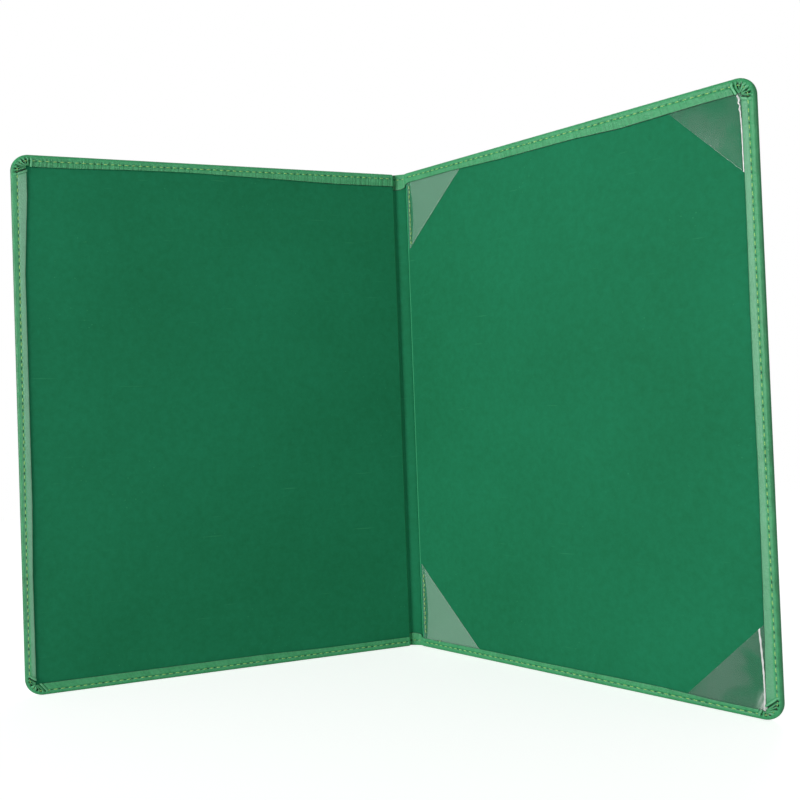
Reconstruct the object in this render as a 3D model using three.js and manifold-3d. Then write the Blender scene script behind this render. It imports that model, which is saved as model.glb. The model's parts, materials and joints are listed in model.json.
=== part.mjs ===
// An open diploma cover that stands on its bottom edges with its inside to the front.
//
// One sheet of green leatherette wraps two stiff boards and the soft spine strip between them. It is turned
// in all round as a hem, gathered at the rounded corners, and stitched down. A smooth lining covers the
// boards and the strip inside. The right cover also has a clear film pocket at each corner, which holds the
// diploma by its corners.
//
// Each cover is built in a frame of its own: X runs from the fold line to the outer edge, Z up, and depth is
// counted from the outer face (the back) towards the lining (the front), which looks along -Y.

import * as THREE from 'three';
import { mergeVertices } from 'three/addons/utils/BufferGeometryUtils.js';
import Module from 'manifold-3d';

const wasm = await Module();
wasm.setup();

// Driving dimensions of the whole cover, in millimetres and degrees.
const coverHeight = 310;
const coverWidth = 234; // from the fold line to the outer edge
const spineWidth = 8; // between the two fold lines
const openingAngle = 115.8; // between the inner faces of the two covers

// Thicknesses of the sheets, from the outer face inwards.
const skinThickness = 0.4;
const boardThickness = 1.8;
const liningThickness = 0.25;
const filmThickness = 0.15;
const glueLine = 0.12; // clearance between two sheets that lie on each other

// The turned edge, its hem and its rounded corners.
const edgeRounding = 1.2;
const cornerRadius = 10;
const hemWidth = 7.8;
const spineHemWidth = 9.8;
const liningTuck = 5.8; // how far the lining goes under the hem
const filmTuck = 5.3; // how far a film corner goes under the hem

// The gathers that take up the sheet at each rounded corner.
const gatherCount = 8;
const gatherMargin = 6; // degrees between the first gather and the straight hem
const gatherHalfWidth = 0.55;
const gatherHeight = 0.4;

// Stitching: one row along the hem, and a short row on each film pocket beside the spine.
const seamInset = 3.2; // from the outer edge to the row of stitches
const stitchPitch = 4;
const threadRadius = 0.28;
const threadNeck = 0.1; // the thread's radius where it dips into a needle hole
const grooveWidth = 1.1;
const grooveDepth = 0.25;
const pocketStitchPitch = 3;
const pocketSeamInset = 1.6; // from the film's sewn edge to its row of stitches

// Film pockets: how much of each side shows past the hem.
const outerFilmLeg = 38;
const spineFilmLeg = 44;
const filmFromStep = 0.9; // from the lining's step to the sewn edge of the film beside the spine

// Folding clearances beside each fold line.
const foldGap = 0.4; // from the fold line to the cut end of the outer sheet
const foldMargin = 0.2; // what a closed cover keeps to the spine strip
const stepRounding = 0.45; // the lining's bend over the edge of the board

// How finely round stretches are divided.
const cornerSegments = 4;
const roundingSegments = 3;
const gatherSides = 6;
const threadSides = 3;
const stitchProfile = [[0, threadNeck], [0.22, threadRadius], [0.78, threadRadius]];

// Depths in a cover, from its outer face.
const boardBack = skinThickness + glueLine;
const boardFront = boardBack + boardThickness;
const liningBack = boardFront + glueLine;
const liningFront = liningBack + liningThickness;
const filmBack = liningFront + glueLine;
const filmFront = filmBack + filmThickness;
const hemBack = filmFront + glueLine;
const coverThickness = hemBack + skinThickness;
const grooveFloor = coverThickness - grooveDepth;

// Depths in the spine strip, which has no board, from the same outer face.
const stripLiningBack = skinThickness + glueLine;
const stripLiningFront = stripLiningBack + liningThickness;
const stripHemBack = stripLiningFront + glueLine;
const stripThickness = stripHemBack + skinThickness;
const stripThreadFront = stripThickness + glueLine + 2 * threadRadius;

// The fold lines lie on the front face of the outer sheet.
const hingeDepth = skinThickness;
const liningStart = stripLiningFront - hingeDepth + foldMargin;
const stepStart = stripThreadFront - hingeDepth + foldMargin;
const boardStart = stepStart + liningThickness + glueLine;
const filmStart = stepStart + filmFromStep;

// Heights and widths of the window that the hem leaves.
const hemInnerX = coverWidth - hemWidth;
const hemInnerZ = coverHeight - hemWidth;
const beyond = 2 * cornerRadius; // how far a cutting solid reaches past what it cuts
const leanAngle = THREE.MathUtils.degToRad((180 - openingAngle) / 2);

// Finishes.
const finish = {
  leatherette: { color: 0x46a56e, roughness: 0.42, metalness: 0 },
  lining: { color: 0x21794f, roughness: 0.62, metalness: 0 },
  board: { color: 0xb4a88f, roughness: 0.9, metalness: 0 },
  thread: { color: 0xb4dc8c, roughness: 0.6, metalness: 0 },
  film: { color: 0x8fb7a2, roughness: 0.12, metalness: 0 },
};

function namedMesh(name, geometry, look) {
  const mesh = new THREE.Mesh(geometry, new THREE.MeshStandardMaterial(look));
  mesh.name = name;
  return mesh;
}

// Turns a closed geometry into a manifold solid.
function toSolid(geometry) {
  const bare = geometry.clone();
  bare.deleteAttribute('normal');
  bare.deleteAttribute('uv');
  const merged = mergeVertices(bare);
  const vertProperties = new Float32Array(merged.attributes.position.array);
  const triVerts = new Uint32Array(merged.index.array);
  return new wasm.Manifold(new wasm.Mesh({ numProp: 3, vertProperties, triVerts }));
}

// Turns a manifold solid back into a geometry.
function toGeometry(solid) {
  const mesh = solid.getMesh();
  const geometry = new THREE.BufferGeometry();
  geometry.setAttribute('position', new THREE.BufferAttribute(mesh.vertProperties, 3));
  geometry.setIndex(new THREE.BufferAttribute(mesh.triVerts, 1));
  geometry.computeVertexNormals();
  return geometry;
}

// Stands a geometry drawn in X and Y up, with what was its Z as depth from the outer face.
function standUp(geometry) {
  geometry.rotateX(Math.PI / 2);
  geometry.translate(0, hingeDepth, 0);
  return geometry;
}

// A sheet with the given outline, from one depth to another, with rounded edges where asked.
function sheet(outline, back, front, rounding = 0) {
  const geometry = new THREE.ExtrudeGeometry(outline, {
    depth: front - back - 2 * rounding,
    curveSegments: cornerSegments,
    bevelEnabled: rounding > 0,
    bevelThickness: rounding,
    bevelSize: rounding,
    bevelOffset: -rounding,
    bevelSegments: roundingSegments,
  });
  geometry.translate(0, 0, back + rounding);
  return standUp(geometry);
}

// A cover's outline, square at the start and rounded at the two outer corners, drawn inside the edge.
function roundedOutline(inset, start) {
  const outline = new THREE.Shape();
  const cornerX = coverWidth - cornerRadius;
  const radius = cornerRadius - inset;
  outline.moveTo(start, inset);
  outline.lineTo(cornerX, inset);
  outline.absarc(cornerX, cornerRadius, radius, -Math.PI / 2, 0);
  outline.absarc(cornerX, coverHeight - cornerRadius, radius, 0, Math.PI / 2);
  outline.lineTo(start, coverHeight - inset);
  return outline;
}

function polygon(points) {
  return new THREE.Shape(points.map(([x, y]) => new THREE.Vector2(x, y)));
}

function rectangle(lowX, lowY, highX, highY) {
  return polygon([[lowX, lowY], [highX, lowY], [highX, highY], [lowX, highY]]);
}

// How far a gather runs, from the hem's inner corner to where the edge starts to round.
function gatherLength(angle) {
  const offset = cornerRadius - hemWidth;
  const along = offset * (Math.cos(angle) + Math.sin(angle));
  const reach = cornerRadius - edgeRounding / 2;
  return Math.sqrt(along ** 2 - 2 * offset ** 2 + reach ** 2) - along;
}

// One gather: a flattened cone that widens from the hem's inner corner towards the outer edge.
function gather(angle, atTop) {
  const length = gatherLength(angle);
  const cone = new THREE.ConeGeometry(gatherHalfWidth, length, gatherSides);
  cone.translate(0, -length / 2, 0);
  cone.scale(1, 1, gatherHeight / gatherHalfWidth);
  cone.rotateZ((atTop ? angle : -angle) + Math.PI / 2);
  cone.translate(hemInnerX, atTop ? hemInnerZ : hemWidth, coverThickness);
  return toSolid(standUp(cone));
}

function cornerGathers() {
  const margin = THREE.MathUtils.degToRad(gatherMargin);
  const step = (Math.PI / 2 - 2 * margin) / (gatherCount - 1);
  const gathers = [];
  for (const atTop of [true, false]) {
    for (let index = 0; index < gatherCount; index += 1) {
      gathers.push(gather(margin + index * step, atTop));
    }
  }
  return wasm.Manifold.union(gathers);
}

// The outer sheet of one cover: back, turned edge, hem with its gathers, and the groove of the seam.
function coverSkin() {
  const start = -beyond;
  const body = toSolid(sheet(roundedOutline(0, start), 0, coverThickness, edgeRounding));
  const innerRounding = edgeRounding - skinThickness;
  const cavityOutline = roundedOutline(skinThickness, 2 * start);
  const cavity = toSolid(sheet(cavityOutline, skinThickness, hemBack, innerRounding));
  const windowOutline = rectangle(2 * start, hemWidth, hemInnerX, hemInnerZ);
  const window = toSolid(sheet(windowOutline, filmBack, coverThickness + beyond));
  const groove = seamBand(grooveFloor, coverThickness + beyond);
  const behindFold = rectangle(2 * start, -beyond, foldGap, coverHeight + beyond);
  const beforeStep = rectangle(2 * start, -beyond, stepStart, coverHeight + beyond);
  return body
    .add(cornerGathers())
    .subtract(cavity)
    .subtract(window)
    .subtract(groove)
    .subtract(toSolid(sheet(behindFold, -beyond, coverThickness + beyond)))
    .subtract(toSolid(sheet(beforeStep, skinThickness, coverThickness + beyond)));
}

// The band in which the stitches lie, as a solid between two depths.
function seamBand(back, front) {
  const outer = roundedOutline(seamInset - grooveWidth / 2, -beyond);
  const inner = roundedOutline(seamInset + grooveWidth / 2, -2 * beyond);
  return toSolid(sheet(outer, back, front)).subtract(toSolid(sheet(inner, back, front)));
}

function boardSheet() {
  const inset = skinThickness + glueLine;
  const rounding = edgeRounding - inset;
  const outline = roundedOutline(inset, boardStart - 2 * rounding);
  const board = toSolid(sheet(outline, boardBack, boardFront, rounding));
  const cut = rectangle(-beyond, -beyond, boardStart, coverHeight + beyond);
  return board.subtract(toSolid(sheet(cut, -beyond, coverThickness + beyond)));
}

// The lining of one cover: flat on the board, bent over the board's edge and down to the spine strip.
function liningSheet() {
  const inset = hemWidth - liningTuck;
  const end = coverWidth - inset;
  const legBack = stepStart + liningThickness;
  const profile = new THREE.Shape();
  profile.moveTo(liningStart, stripLiningBack);
  profile.lineTo(legBack, stripLiningBack);
  profile.lineTo(legBack, liningBack);
  profile.lineTo(end, liningBack);
  profile.lineTo(end, liningFront);
  profile.absarc(stepStart + stepRounding, liningFront - stepRounding, stepRounding, Math.PI / 2, Math.PI);
  profile.lineTo(stepStart, stripLiningFront);
  profile.lineTo(liningStart, stripLiningFront);
  const geometry = new THREE.ExtrudeGeometry(profile, {
    depth: coverHeight - 2 * inset,
    curveSegments: cornerSegments,
    bevelEnabled: false,
  });
  geometry.rotateX(Math.PI);
  geometry.translate(0, hingeDepth, coverHeight - inset);
  const rounded = toSolid(sheet(roundedOutline(inset, -beyond), -beyond, coverThickness + beyond));
  return toSolid(geometry).intersect(rounded);
}

// Mirrors a flat list of points to the bottom corner where asked.
function atCorner(points, atTop) {
  return polygon(atTop ? points : points.map(([x, z]) => [x, coverHeight - z]).reverse());
}

// The film pocket at an outer corner: a right triangle with two sides under the hem.
function outerFilm(atTop) {
  const corner = coverWidth - hemWidth + filmTuck;
  const cornerTop = hemInnerZ + filmTuck;
  const leg = outerFilmLeg + 2 * filmTuck;
  const outline = atCorner([[corner - leg, cornerTop], [corner, cornerTop - leg], [corner, cornerTop]], atTop);
  const rounded = roundedOutline(hemWidth - filmTuck, -beyond);
  return toSolid(sheet(outline, filmBack, filmFront)).intersect(toSolid(sheet(rounded, 0, coverThickness)));
}

// The film pocket beside the spine: one side under the hem, the other sewn along the board's edge.
function spineFilm(atTop) {
  const cornerTop = hemInnerZ + filmTuck;
  const leg = spineFilmLeg + filmTuck;
  const outline = atCorner([[filmStart, cornerTop - leg], [filmStart + leg, cornerTop], [filmStart, cornerTop]], atTop);
  return toSolid(sheet(outline, filmBack, filmFront));
}

// Joins equal rings of points into one closed skin, with a flat cap on each end.
function loft(rings) {
  const sides = rings[0].length;
  const positions = rings.flat().flatMap((point) => point.toArray());
  const index = [];
  for (let ring = 0; ring + 1 < rings.length; ring += 1) {
    for (let side = 0; side < sides; side += 1) {
      const a = ring * sides + side;
      const b = ring * sides + ((side + 1) % sides);
      index.push(a, a + sides, b, b, a + sides, b + sides);
    }
  }
  const last = (rings.length - 1) * sides;
  for (let side = 1; side + 1 < sides; side += 1) {
    index.push(0, side, side + 1);
    index.push(last, last + side + 1, last + side);
  }
  const geometry = new THREE.BufferGeometry();
  geometry.setAttribute('position', new THREE.Float32BufferAttribute(positions, 3));
  geometry.setIndex(index);
  geometry.computeVertexNormals();
  return geometry;
}

// A row of stitches along a path: the thread swells in each stitch and narrows at each needle hole.
function stitchRow(path, pitch, seat) {
  const stitches = Math.max(1, Math.round(path.getLength() / pitch));
  const depth = seat + glueLine + threadRadius;
  const rings = [];
  for (let stitch = 0; stitch < stitches; stitch += 1) {
    for (const [share, radius] of stitchProfile) {
      rings.push(threadRing(path, (stitch + share) / stitches, depth, radius));
    }
  }
  rings.push(threadRing(path, 1, depth, threadNeck));
  return standUp(loft(rings));
}

// One ring of the thread, square to the path, with its flat side on the sheet below.
function threadRing(path, share, depth, radius) {
  const centre = path.getPoint(share);
  const tangent = path.getTangent(share);
  const ring = [];
  for (let side = 0; side < threadSides; side += 1) {
    const angle = Math.PI / 2 + (side * 2 * Math.PI) / threadSides;
    const across = radius * Math.cos(angle);
    const x = centre.x + across * tangent.y;
    const y = centre.y - across * tangent.x;
    ring.push(new THREE.Vector3(x, y, depth + radius * Math.sin(angle)));
  }
  return ring;
}

// The hem's row of stitches on one cover, from the step at the spine round both outer corners.
function hemSeam() {
  const path = new THREE.Path();
  const outline = roundedOutline(seamInset, stepStart + threadRadius);
  path.curves = outline.curves;
  return stitchRow(path, stitchPitch, grooveFloor);
}

// The short row of stitches on a film pocket beside the spine.
function pocketSeam(atTop) {
  const x = filmStart + pocketSeamInset;
  const inner = hemInnerZ - 2 * threadRadius;
  const outer = hemInnerZ - spineFilmLeg + 2 * pocketSeamInset;
  const place = (z) => (atTop ? z : coverHeight - z);
  const path = new THREE.Path().moveTo(x, place(outer)).lineTo(x, place(inner));
  return stitchRow(path, pocketStitchPitch, filmFront);
}

// What both covers hold.
function commonPieces(side) {
  return [
    namedMesh(`${side}_cover`, toGeometry(coverSkin()), finish.leatherette),
    namedMesh(`${side}_board`, toGeometry(boardSheet()), finish.board),
    namedMesh(`${side}_lining`, toGeometry(liningSheet()), finish.lining),
    namedMesh(`${side}_seam_thread`, hemSeam(), finish.thread),
  ];
}

// The film pockets of the right cover and their short seams.
function pocketPieces() {
  const pieces = [];
  for (const [place, atTop] of [['top', true], ['bottom', false]]) {
    pieces.push(namedMesh(`film_outer_${place}`, toGeometry(outerFilm(atTop)), finish.film));
    pieces.push(namedMesh(`film_spine_${place}`, toGeometry(spineFilm(atTop)), finish.film));
    pieces.push(namedMesh(`pocket_thread_${place}`, pocketSeam(atTop), finish.thread));
  }
  return pieces;
}

// The outer sheet over the spine strip, in section: the back with a hem turned in at top and bottom.
function spineSkin() {
  const middle = stripThickness / 2;
  const inside = middle - skinThickness;
  const high = coverHeight - middle;
  const section = new THREE.Shape();
  section.moveTo(stripThickness, spineHemWidth);
  section.lineTo(stripThickness, middle);
  section.absarc(middle, middle, middle, 0, -Math.PI, true);
  section.absarc(middle, high, middle, Math.PI, 0, true);
  section.lineTo(stripThickness, coverHeight - spineHemWidth);
  section.lineTo(stripHemBack, coverHeight - spineHemWidth);
  section.absarc(middle, high, inside, 0, Math.PI, false);
  section.absarc(middle, middle, inside, Math.PI, 2 * Math.PI, false);
  section.lineTo(stripHemBack, spineHemWidth);
  const width = spineWidth - 2 * foldGap;
  const geometry = new THREE.ExtrudeGeometry(section, {
    depth: width,
    curveSegments: roundingSegments,
    bevelEnabled: false,
  });
  geometry.translate(0, 0, -width / 2);
  geometry.applyMatrix4(new THREE.Matrix4().makeBasis(
    new THREE.Vector3(0, -1, 0),
    new THREE.Vector3(0, 0, 1),
    new THREE.Vector3(-1, 0, 0),
  ));
  geometry.translate(0, hingeDepth, 0);
  return geometry;
}

function spineLining() {
  const inset = hemWidth - liningTuck;
  const half = spineWidth / 2 - liningStart;
  return sheet(rectangle(-half, inset, half, coverHeight - inset), stripLiningBack, stripLiningFront);
}

// The few stitches that cross the spine strip.
function spineSeam(atTop) {
  const half = spineWidth / 2 - foldGap - threadRadius;
  const z = atTop ? coverHeight - seamInset : seamInset;
  const path = new THREE.Path().moveTo(-half, z).lineTo(half, z);
  return stitchRow(path, stitchPitch, stripThickness);
}

function spine() {
  const group = new THREE.Group();
  group.add(
    namedMesh('spine_cover', spineSkin(), finish.leatherette),
    namedMesh('spine_lining', spineLining(), finish.lining),
    namedMesh('spine_thread_top', spineSeam(true), finish.thread),
    namedMesh('spine_thread_bottom', spineSeam(false), finish.thread),
  );
  return group;
}

function rightCover() {
  const group = new THREE.Group();
  group.add(...commonPieces('right'), ...pocketPieces());
  group.position.x = spineWidth / 2;
  group.rotation.z = -leanAngle;
  return group;
}

function leftCover() {
  const group = new THREE.Group();
  group.add(...commonPieces('left'));
  group.position.x = -spineWidth / 2;
  group.rotation.z = leanAngle;
  group.scale.x = -1;
  return group;
}

// The origin is the middle of the ground that the standing cover takes up.
const diplomaCover = new THREE.Group();
diplomaCover.add(spine(), leftCover(), rightCover());
diplomaCover.updateMatrixWorld(true);
const extent = new THREE.Box3().setFromObject(diplomaCover, true);
const middle = extent.getCenter(new THREE.Vector3());
diplomaCover.position.set(-middle.x, -middle.y, -extent.min.z);

export default diplomaCover;
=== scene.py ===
"""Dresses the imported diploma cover: the hemmed leatherette sheet, lining, stitches and film pockets.

The two covers stand open in a V. Each is shaped in a flat frame of its own, in which `along` runs from the
fold line to the outer edge, `up` is the height and `depth` counts from the outer face to the lining. A
FoldFrame bends that frame round the fold line and places it in the shared frame, in metres.
"""

import json
import logging
import math
from dataclasses import dataclass, field, replace
from enum import Enum
from typing import Callable, Iterable, Sequence

import bpy
import numpy as np
from mathutils import Matrix, Vector


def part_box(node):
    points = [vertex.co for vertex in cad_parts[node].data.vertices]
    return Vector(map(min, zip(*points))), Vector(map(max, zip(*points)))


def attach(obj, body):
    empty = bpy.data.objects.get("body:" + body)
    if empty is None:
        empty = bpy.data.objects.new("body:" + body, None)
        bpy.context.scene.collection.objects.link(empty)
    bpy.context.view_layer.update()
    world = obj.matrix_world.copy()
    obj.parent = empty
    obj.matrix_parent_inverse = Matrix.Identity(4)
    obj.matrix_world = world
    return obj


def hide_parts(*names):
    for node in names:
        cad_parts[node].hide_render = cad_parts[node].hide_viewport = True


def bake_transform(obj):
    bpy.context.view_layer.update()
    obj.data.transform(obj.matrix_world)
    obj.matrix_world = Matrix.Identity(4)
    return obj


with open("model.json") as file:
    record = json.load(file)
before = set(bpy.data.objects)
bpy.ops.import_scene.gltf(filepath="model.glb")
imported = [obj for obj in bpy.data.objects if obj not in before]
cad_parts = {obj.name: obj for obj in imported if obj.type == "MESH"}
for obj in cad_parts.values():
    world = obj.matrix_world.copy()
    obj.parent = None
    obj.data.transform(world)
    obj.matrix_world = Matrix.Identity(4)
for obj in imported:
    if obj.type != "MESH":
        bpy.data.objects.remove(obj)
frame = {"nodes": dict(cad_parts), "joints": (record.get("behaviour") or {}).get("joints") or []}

LOG = logging.getLogger("diploma_cover")
MM = 0.001
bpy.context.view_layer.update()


class Side(Enum):
    """Which of the two covers a piece belongs to, with its sign along X."""

    LEFT = -1
    RIGHT = 1

    @property
    def word(self) -> str:
        """The side's name in node names."""
        return self.name.lower()


class End(Enum):
    """The top or the bottom of the cover."""

    TOP = 1
    BOTTOM = -1

    @property
    def word(self) -> str:
        """The end's name in node names."""
        return self.name.lower()


def smooth(low: float, high: float, value: np.ndarray | float) -> np.ndarray | float:
    """Eases from 0 at low to 1 at high.

    Args:
        low: Where the step begins.
        high: Where the step ends.
        value: The value or values to ease.

    Returns:
        The eased share, between 0 and 1.
    """
    share = np.clip((value - low) / (high - low), 0.0, 1.0)
    return share * share * (3.0 - 2.0 * share)


def bump(value: np.ndarray | float, centre: float, width: float) -> np.ndarray | float:
    """A bell of height 1 round a centre, falling away over about a width."""
    return np.exp(-(((value - centre) / width) ** 2))


@dataclass(frozen=True)
class Layers:
    """Thicknesses and depths of the sheets in a cover, in metres, from its outer face."""

    skin: float = 0.4 * MM
    board: float = 1.8 * MM
    lining: float = 0.25 * MM
    film: float = 0.15 * MM
    glue: float = 0.12 * MM

    @property
    def lining_front(self) -> float:
        """Depth of the lining's face on the board."""
        return self.skin + self.board + self.lining + 2 * self.glue

    @property
    def film_back(self) -> float:
        """Depth of a film pocket's back."""
        return self.lining_front + self.glue

    @property
    def total(self) -> float:
        """Thickness of a cover at its hem."""
        return self.film_back + self.film + self.glue + self.skin

    @property
    def strip_lining_front(self) -> float:
        """Depth of the lining's face on the spine strip."""
        return self.skin + self.glue + self.lining

    @property
    def strip_total(self) -> float:
        """Thickness of the spine strip at its hem."""
        return self.strip_lining_front + self.glue + self.skin


@dataclass(frozen=True)
class CoverSizes:
    """Outline sizes of one cover, in metres."""

    height: float
    width: float
    half_spine: float
    hem: float = 7.8 * MM
    strip_hem: float = 9.8 * MM
    corner: float = 10.0 * MM
    inner_corner: float = 0.8 * MM
    rounding: float = 1.6 * MM
    seam: float = 3.2 * MM
    pitch: float = 4.0 * MM
    step: float = 1.77 * MM
    bend: float = 1.0 * MM


@dataclass(frozen=True)
class FoldFrame:
    """Places a cover's flat frame in the shared frame, bent round its fold line."""

    side: Side
    fold: Vector
    lean: float
    hinge_depth: float
    bend: float
    width: float
    height: float
    foot: float = 0.0

    def place(self, along: np.ndarray, up: np.ndarray, depth: np.ndarray) -> np.ndarray:
        """Turns flat coordinates into points of the shared frame.

        Args:
            along: Distance from the fold line towards the outer edge; negative on the spine strip.
            up: Height above the ground.
            depth: Depth from the outer face.

        Returns:
            An array of points, one row each.
        """
        along = along + self.foot * np.maximum(along, 0.0) / self.width * (1.0 - up / self.height)
        turn = -self.lean * smooth(-self.bend, self.bend, along)
        out = self.hinge_depth - depth
        x = along * np.cos(turn) - out * np.sin(turn)
        y = along * np.sin(turn) + out * np.cos(turn)
        points = np.stack([self.side.value * (abs(self.fold.x) + x), self.fold.y + y, up + 0.0 * x], axis=-1)
        return points.reshape(-1, 3)

    def middle(self, depth: float) -> Vector:
        """The point in the middle of the cover at a depth."""
        flat = (np.array([value]) for value in (self.width / 2, self.height / 2, depth))
        return Vector(self.place(*flat)[0])

    def blend_ends(self) -> tuple[Vector, Vector]:
        """The two points between which a sheet passes from this cover to the spine.

        Returns:
            A point on the cover and one on the spine, on both sides of the fold.
        """
        ends = []
        for along in (self.bend, -self.bend):
            x = self.fold.x + self.side.value * math.cos(self.lean) * along
            y = self.fold.y - math.sin(self.lean) * along
            ends.append(Vector((x, y, self.height / 2)))
        return ends[0], ends[1]


def deselect_all() -> None:
    """Leaves nothing selected, in object mode."""
    if bpy.context.object is not None and bpy.context.object.mode != "OBJECT":
        bpy.ops.object.mode_set(mode="OBJECT")
    bpy.ops.object.select_all(action="DESELECT")


def use(piece: bpy.types.Object) -> None:
    """Makes a piece the only selected and the active one.

    Args:
        piece: The piece to select.
    """
    deselect_all()
    piece.select_set(True)
    bpy.context.view_layer.objects.active = piece


def name_piece(piece: bpy.types.Object, name: str) -> bpy.types.Object:
    """Names a piece and its mesh alike.

    Args:
        piece: The piece.
        name: Its new name.

    Returns:
        The same piece.
    """
    piece.name = name
    piece.data.name = name
    return piece


def grid_piece(
    name: str,
    columns: Sequence[float],
    rows: Sequence[float],
    shape: Callable[[np.ndarray, np.ndarray], np.ndarray],
) -> bpy.types.Object:
    """Adds a grid and moves its points to where a formula says.

    Args:
        name: The piece's name.
        columns: The value of each column.
        rows: The value of each row.
        shape: Takes column and row values, as arrays, and gives one point for each.

    Returns:
        The shaped piece, whose points are numbered row by row.
    """
    deselect_all()
    bpy.ops.mesh.primitive_grid_add(x_subdivisions=len(columns) - 1, y_subdivisions=len(rows) - 1, size=2)
    piece = name_piece(bpy.context.object, name)
    count = len(piece.data.vertices)
    flat = np.empty(count * 3)
    piece.data.vertices.foreach_get("co", flat)
    flat = flat.reshape(-1, 3)
    column = np.rint((flat[:, 0] + 1) / 2 * (len(columns) - 1)).astype(int)
    row = np.rint((flat[:, 1] + 1) / 2 * (len(rows) - 1)).astype(int)
    points = shape(np.asarray(columns)[column], np.asarray(rows)[row])
    piece.data.vertices.foreach_set("co", points.ravel())
    piece.data.update()
    return piece


def face_outwards(piece: bpy.types.Object, inside: Vector) -> None:
    """Turns the faces of an open sheet so that its largest face looks away from a point inside it.

    Args:
        piece: The open sheet.
        inside: A point that its faces should look away from.
    """
    face = max(piece.data.polygons, key=lambda item: item.area)
    if (face.center - inside).dot(face.normal) < 0:
        piece.data.flip_normals()


def edit_whole(piece: bpy.types.Object, operator: Callable[..., object], **settings: object) -> None:
    """Runs a mesh operator on the whole of a piece.

    Args:
        piece: The piece.
        operator: The operator, such as bpy.ops.mesh.remove_doubles.
        **settings: Its settings by name.
    """
    use(piece)
    bpy.ops.object.mode_set(mode="EDIT")
    bpy.ops.mesh.select_all(action="SELECT")
    operator(**settings)
    bpy.ops.object.mode_set(mode="OBJECT")


def apply_modifier(piece: bpy.types.Object, kind: str, **settings: object) -> None:
    """Adds a modifier with the given settings and applies it.

    Args:
        piece: The piece.
        kind: The modifier's type.
        **settings: Its settings by name.
    """
    use(piece)
    modifier = piece.modifiers.new(kind.lower(), kind)
    for key, value in settings.items():
        setattr(modifier, key, value)
    bpy.ops.object.modifier_apply(modifier=modifier.name)


def shade(piece: bpy.types.Object, angle: float = 40.0) -> None:
    """Shades a piece smooth, apart from edges sharper than an angle in degrees."""
    use(piece)
    bpy.ops.object.shade_smooth_by_angle(angle=math.radians(angle))


def store(piece: bpy.types.Object, kept: dict[str, np.ndarray]) -> None:
    """Keeps values for the points of a piece, for its material to read.

    Args:
        piece: The piece.
        kept: For each value's name, one number for each point.
    """
    for name, values in kept.items():
        attribute = piece.data.attributes.new(name, "FLOAT", "POINT")
        attribute.data.foreach_set("value", values.astype(np.float32))


def set_material(piece: bpy.types.Object, material: bpy.types.Material) -> None:
    """Gives a piece one material."""
    piece.data.materials.clear()
    piece.data.materials.append(material)


@dataclass(frozen=True)
class Nodes:
    """Adds and links the nodes of one node tree."""

    tree: bpy.types.NodeTree

    def add(self, kind: str, **values: object) -> bpy.types.Node:
        """Adds a node; a value sets an attribute, or an input when its name starts with a capital letter.

        Args:
            kind: The node's type name.
            **values: Attributes and inputs; an underscore in an input's name stands for a space.

        Returns:
            The new node.
        """
        node = self.tree.nodes.new(kind)
        for key, value in values.items():
            if key[0].isupper():
                self.feed(node.inputs[key.replace("_", " ")], value)
            else:
                setattr(node, key, value)
        return node

    def feed(self, socket: bpy.types.NodeSocket, value: object) -> None:
        """Links a socket to another, or sets its value.

        Args:
            socket: The input.
            value: An output to link, or a plain value.
        """
        if isinstance(value, bpy.types.NodeSocket):
            self.tree.links.new(value, socket)
        else:
            socket.default_value = value

    def mix(self, share: object, first: object, second: object) -> bpy.types.NodeSocket:
        """Mixes two colours and gives the result.

        Args:
            share: How much of the second.
            first: The first colour.
            second: The second colour.

        Returns:
            The mixed colour.
        """
        node = self.add("ShaderNodeMix", data_type="RGBA")
        for index, value in ((0, share), (6, first), (7, second)):
            self.feed(node.inputs[index], value)
        return node.outputs[2]

    def ramp(
        self, value: object, low: float, high: float, to_low: float = 0.0, to_high: float = 1.0
    ) -> bpy.types.NodeSocket:
        """Maps a value from one range to another, clamped.

        Args:
            value: The value to map.
            low: Where the range starts.
            high: Where it ends.
            to_low: What its start becomes.
            to_high: What its end becomes.

        Returns:
            The mapped value.
        """
        node = self.add("ShaderNodeMapRange", clamp=True)
        for index, entry in enumerate((value, low, high, to_low, to_high)):
            self.feed(node.inputs[index], entry)
        return node.outputs[0]

    def math(self, operation: str, first: object, second: object) -> bpy.types.NodeSocket:
        """Works out one sum on two values.

        Args:
            operation: The sum's name.
            first: The first value.
            second: The second value.

        Returns:
            The result.
        """
        node = self.add("ShaderNodeMath", operation=operation)
        self.feed(node.inputs[0], first)
        self.feed(node.inputs[1], second)
        return node.outputs[0]

    def kept(self, name: str) -> bpy.types.NodeSocket:
        """Reads a value that a piece keeps for each of its points."""
        return self.add("ShaderNodeAttribute", attribute_name=name).outputs["Fac"]


def colour(red: int, green: int, blue: int) -> tuple[float, float, float, float]:
    """Turns a colour read off a screen, 0 to 255, into the linear values that shaders take.

    Args:
        red: Red, 0 to 255.
        green: Green, 0 to 255.
        blue: Blue, 0 to 255.

    Returns:
        Linear red, green and blue, and an alpha of 1.
    """
    def linear(level: int) -> float:
        """One channel."""
        share = level / 255
        return share / 12.92 if share <= 0.04045 else ((share + 0.055) / 1.055) ** 2.4
    return (linear(red), linear(green), linear(blue), 1.0)


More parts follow.
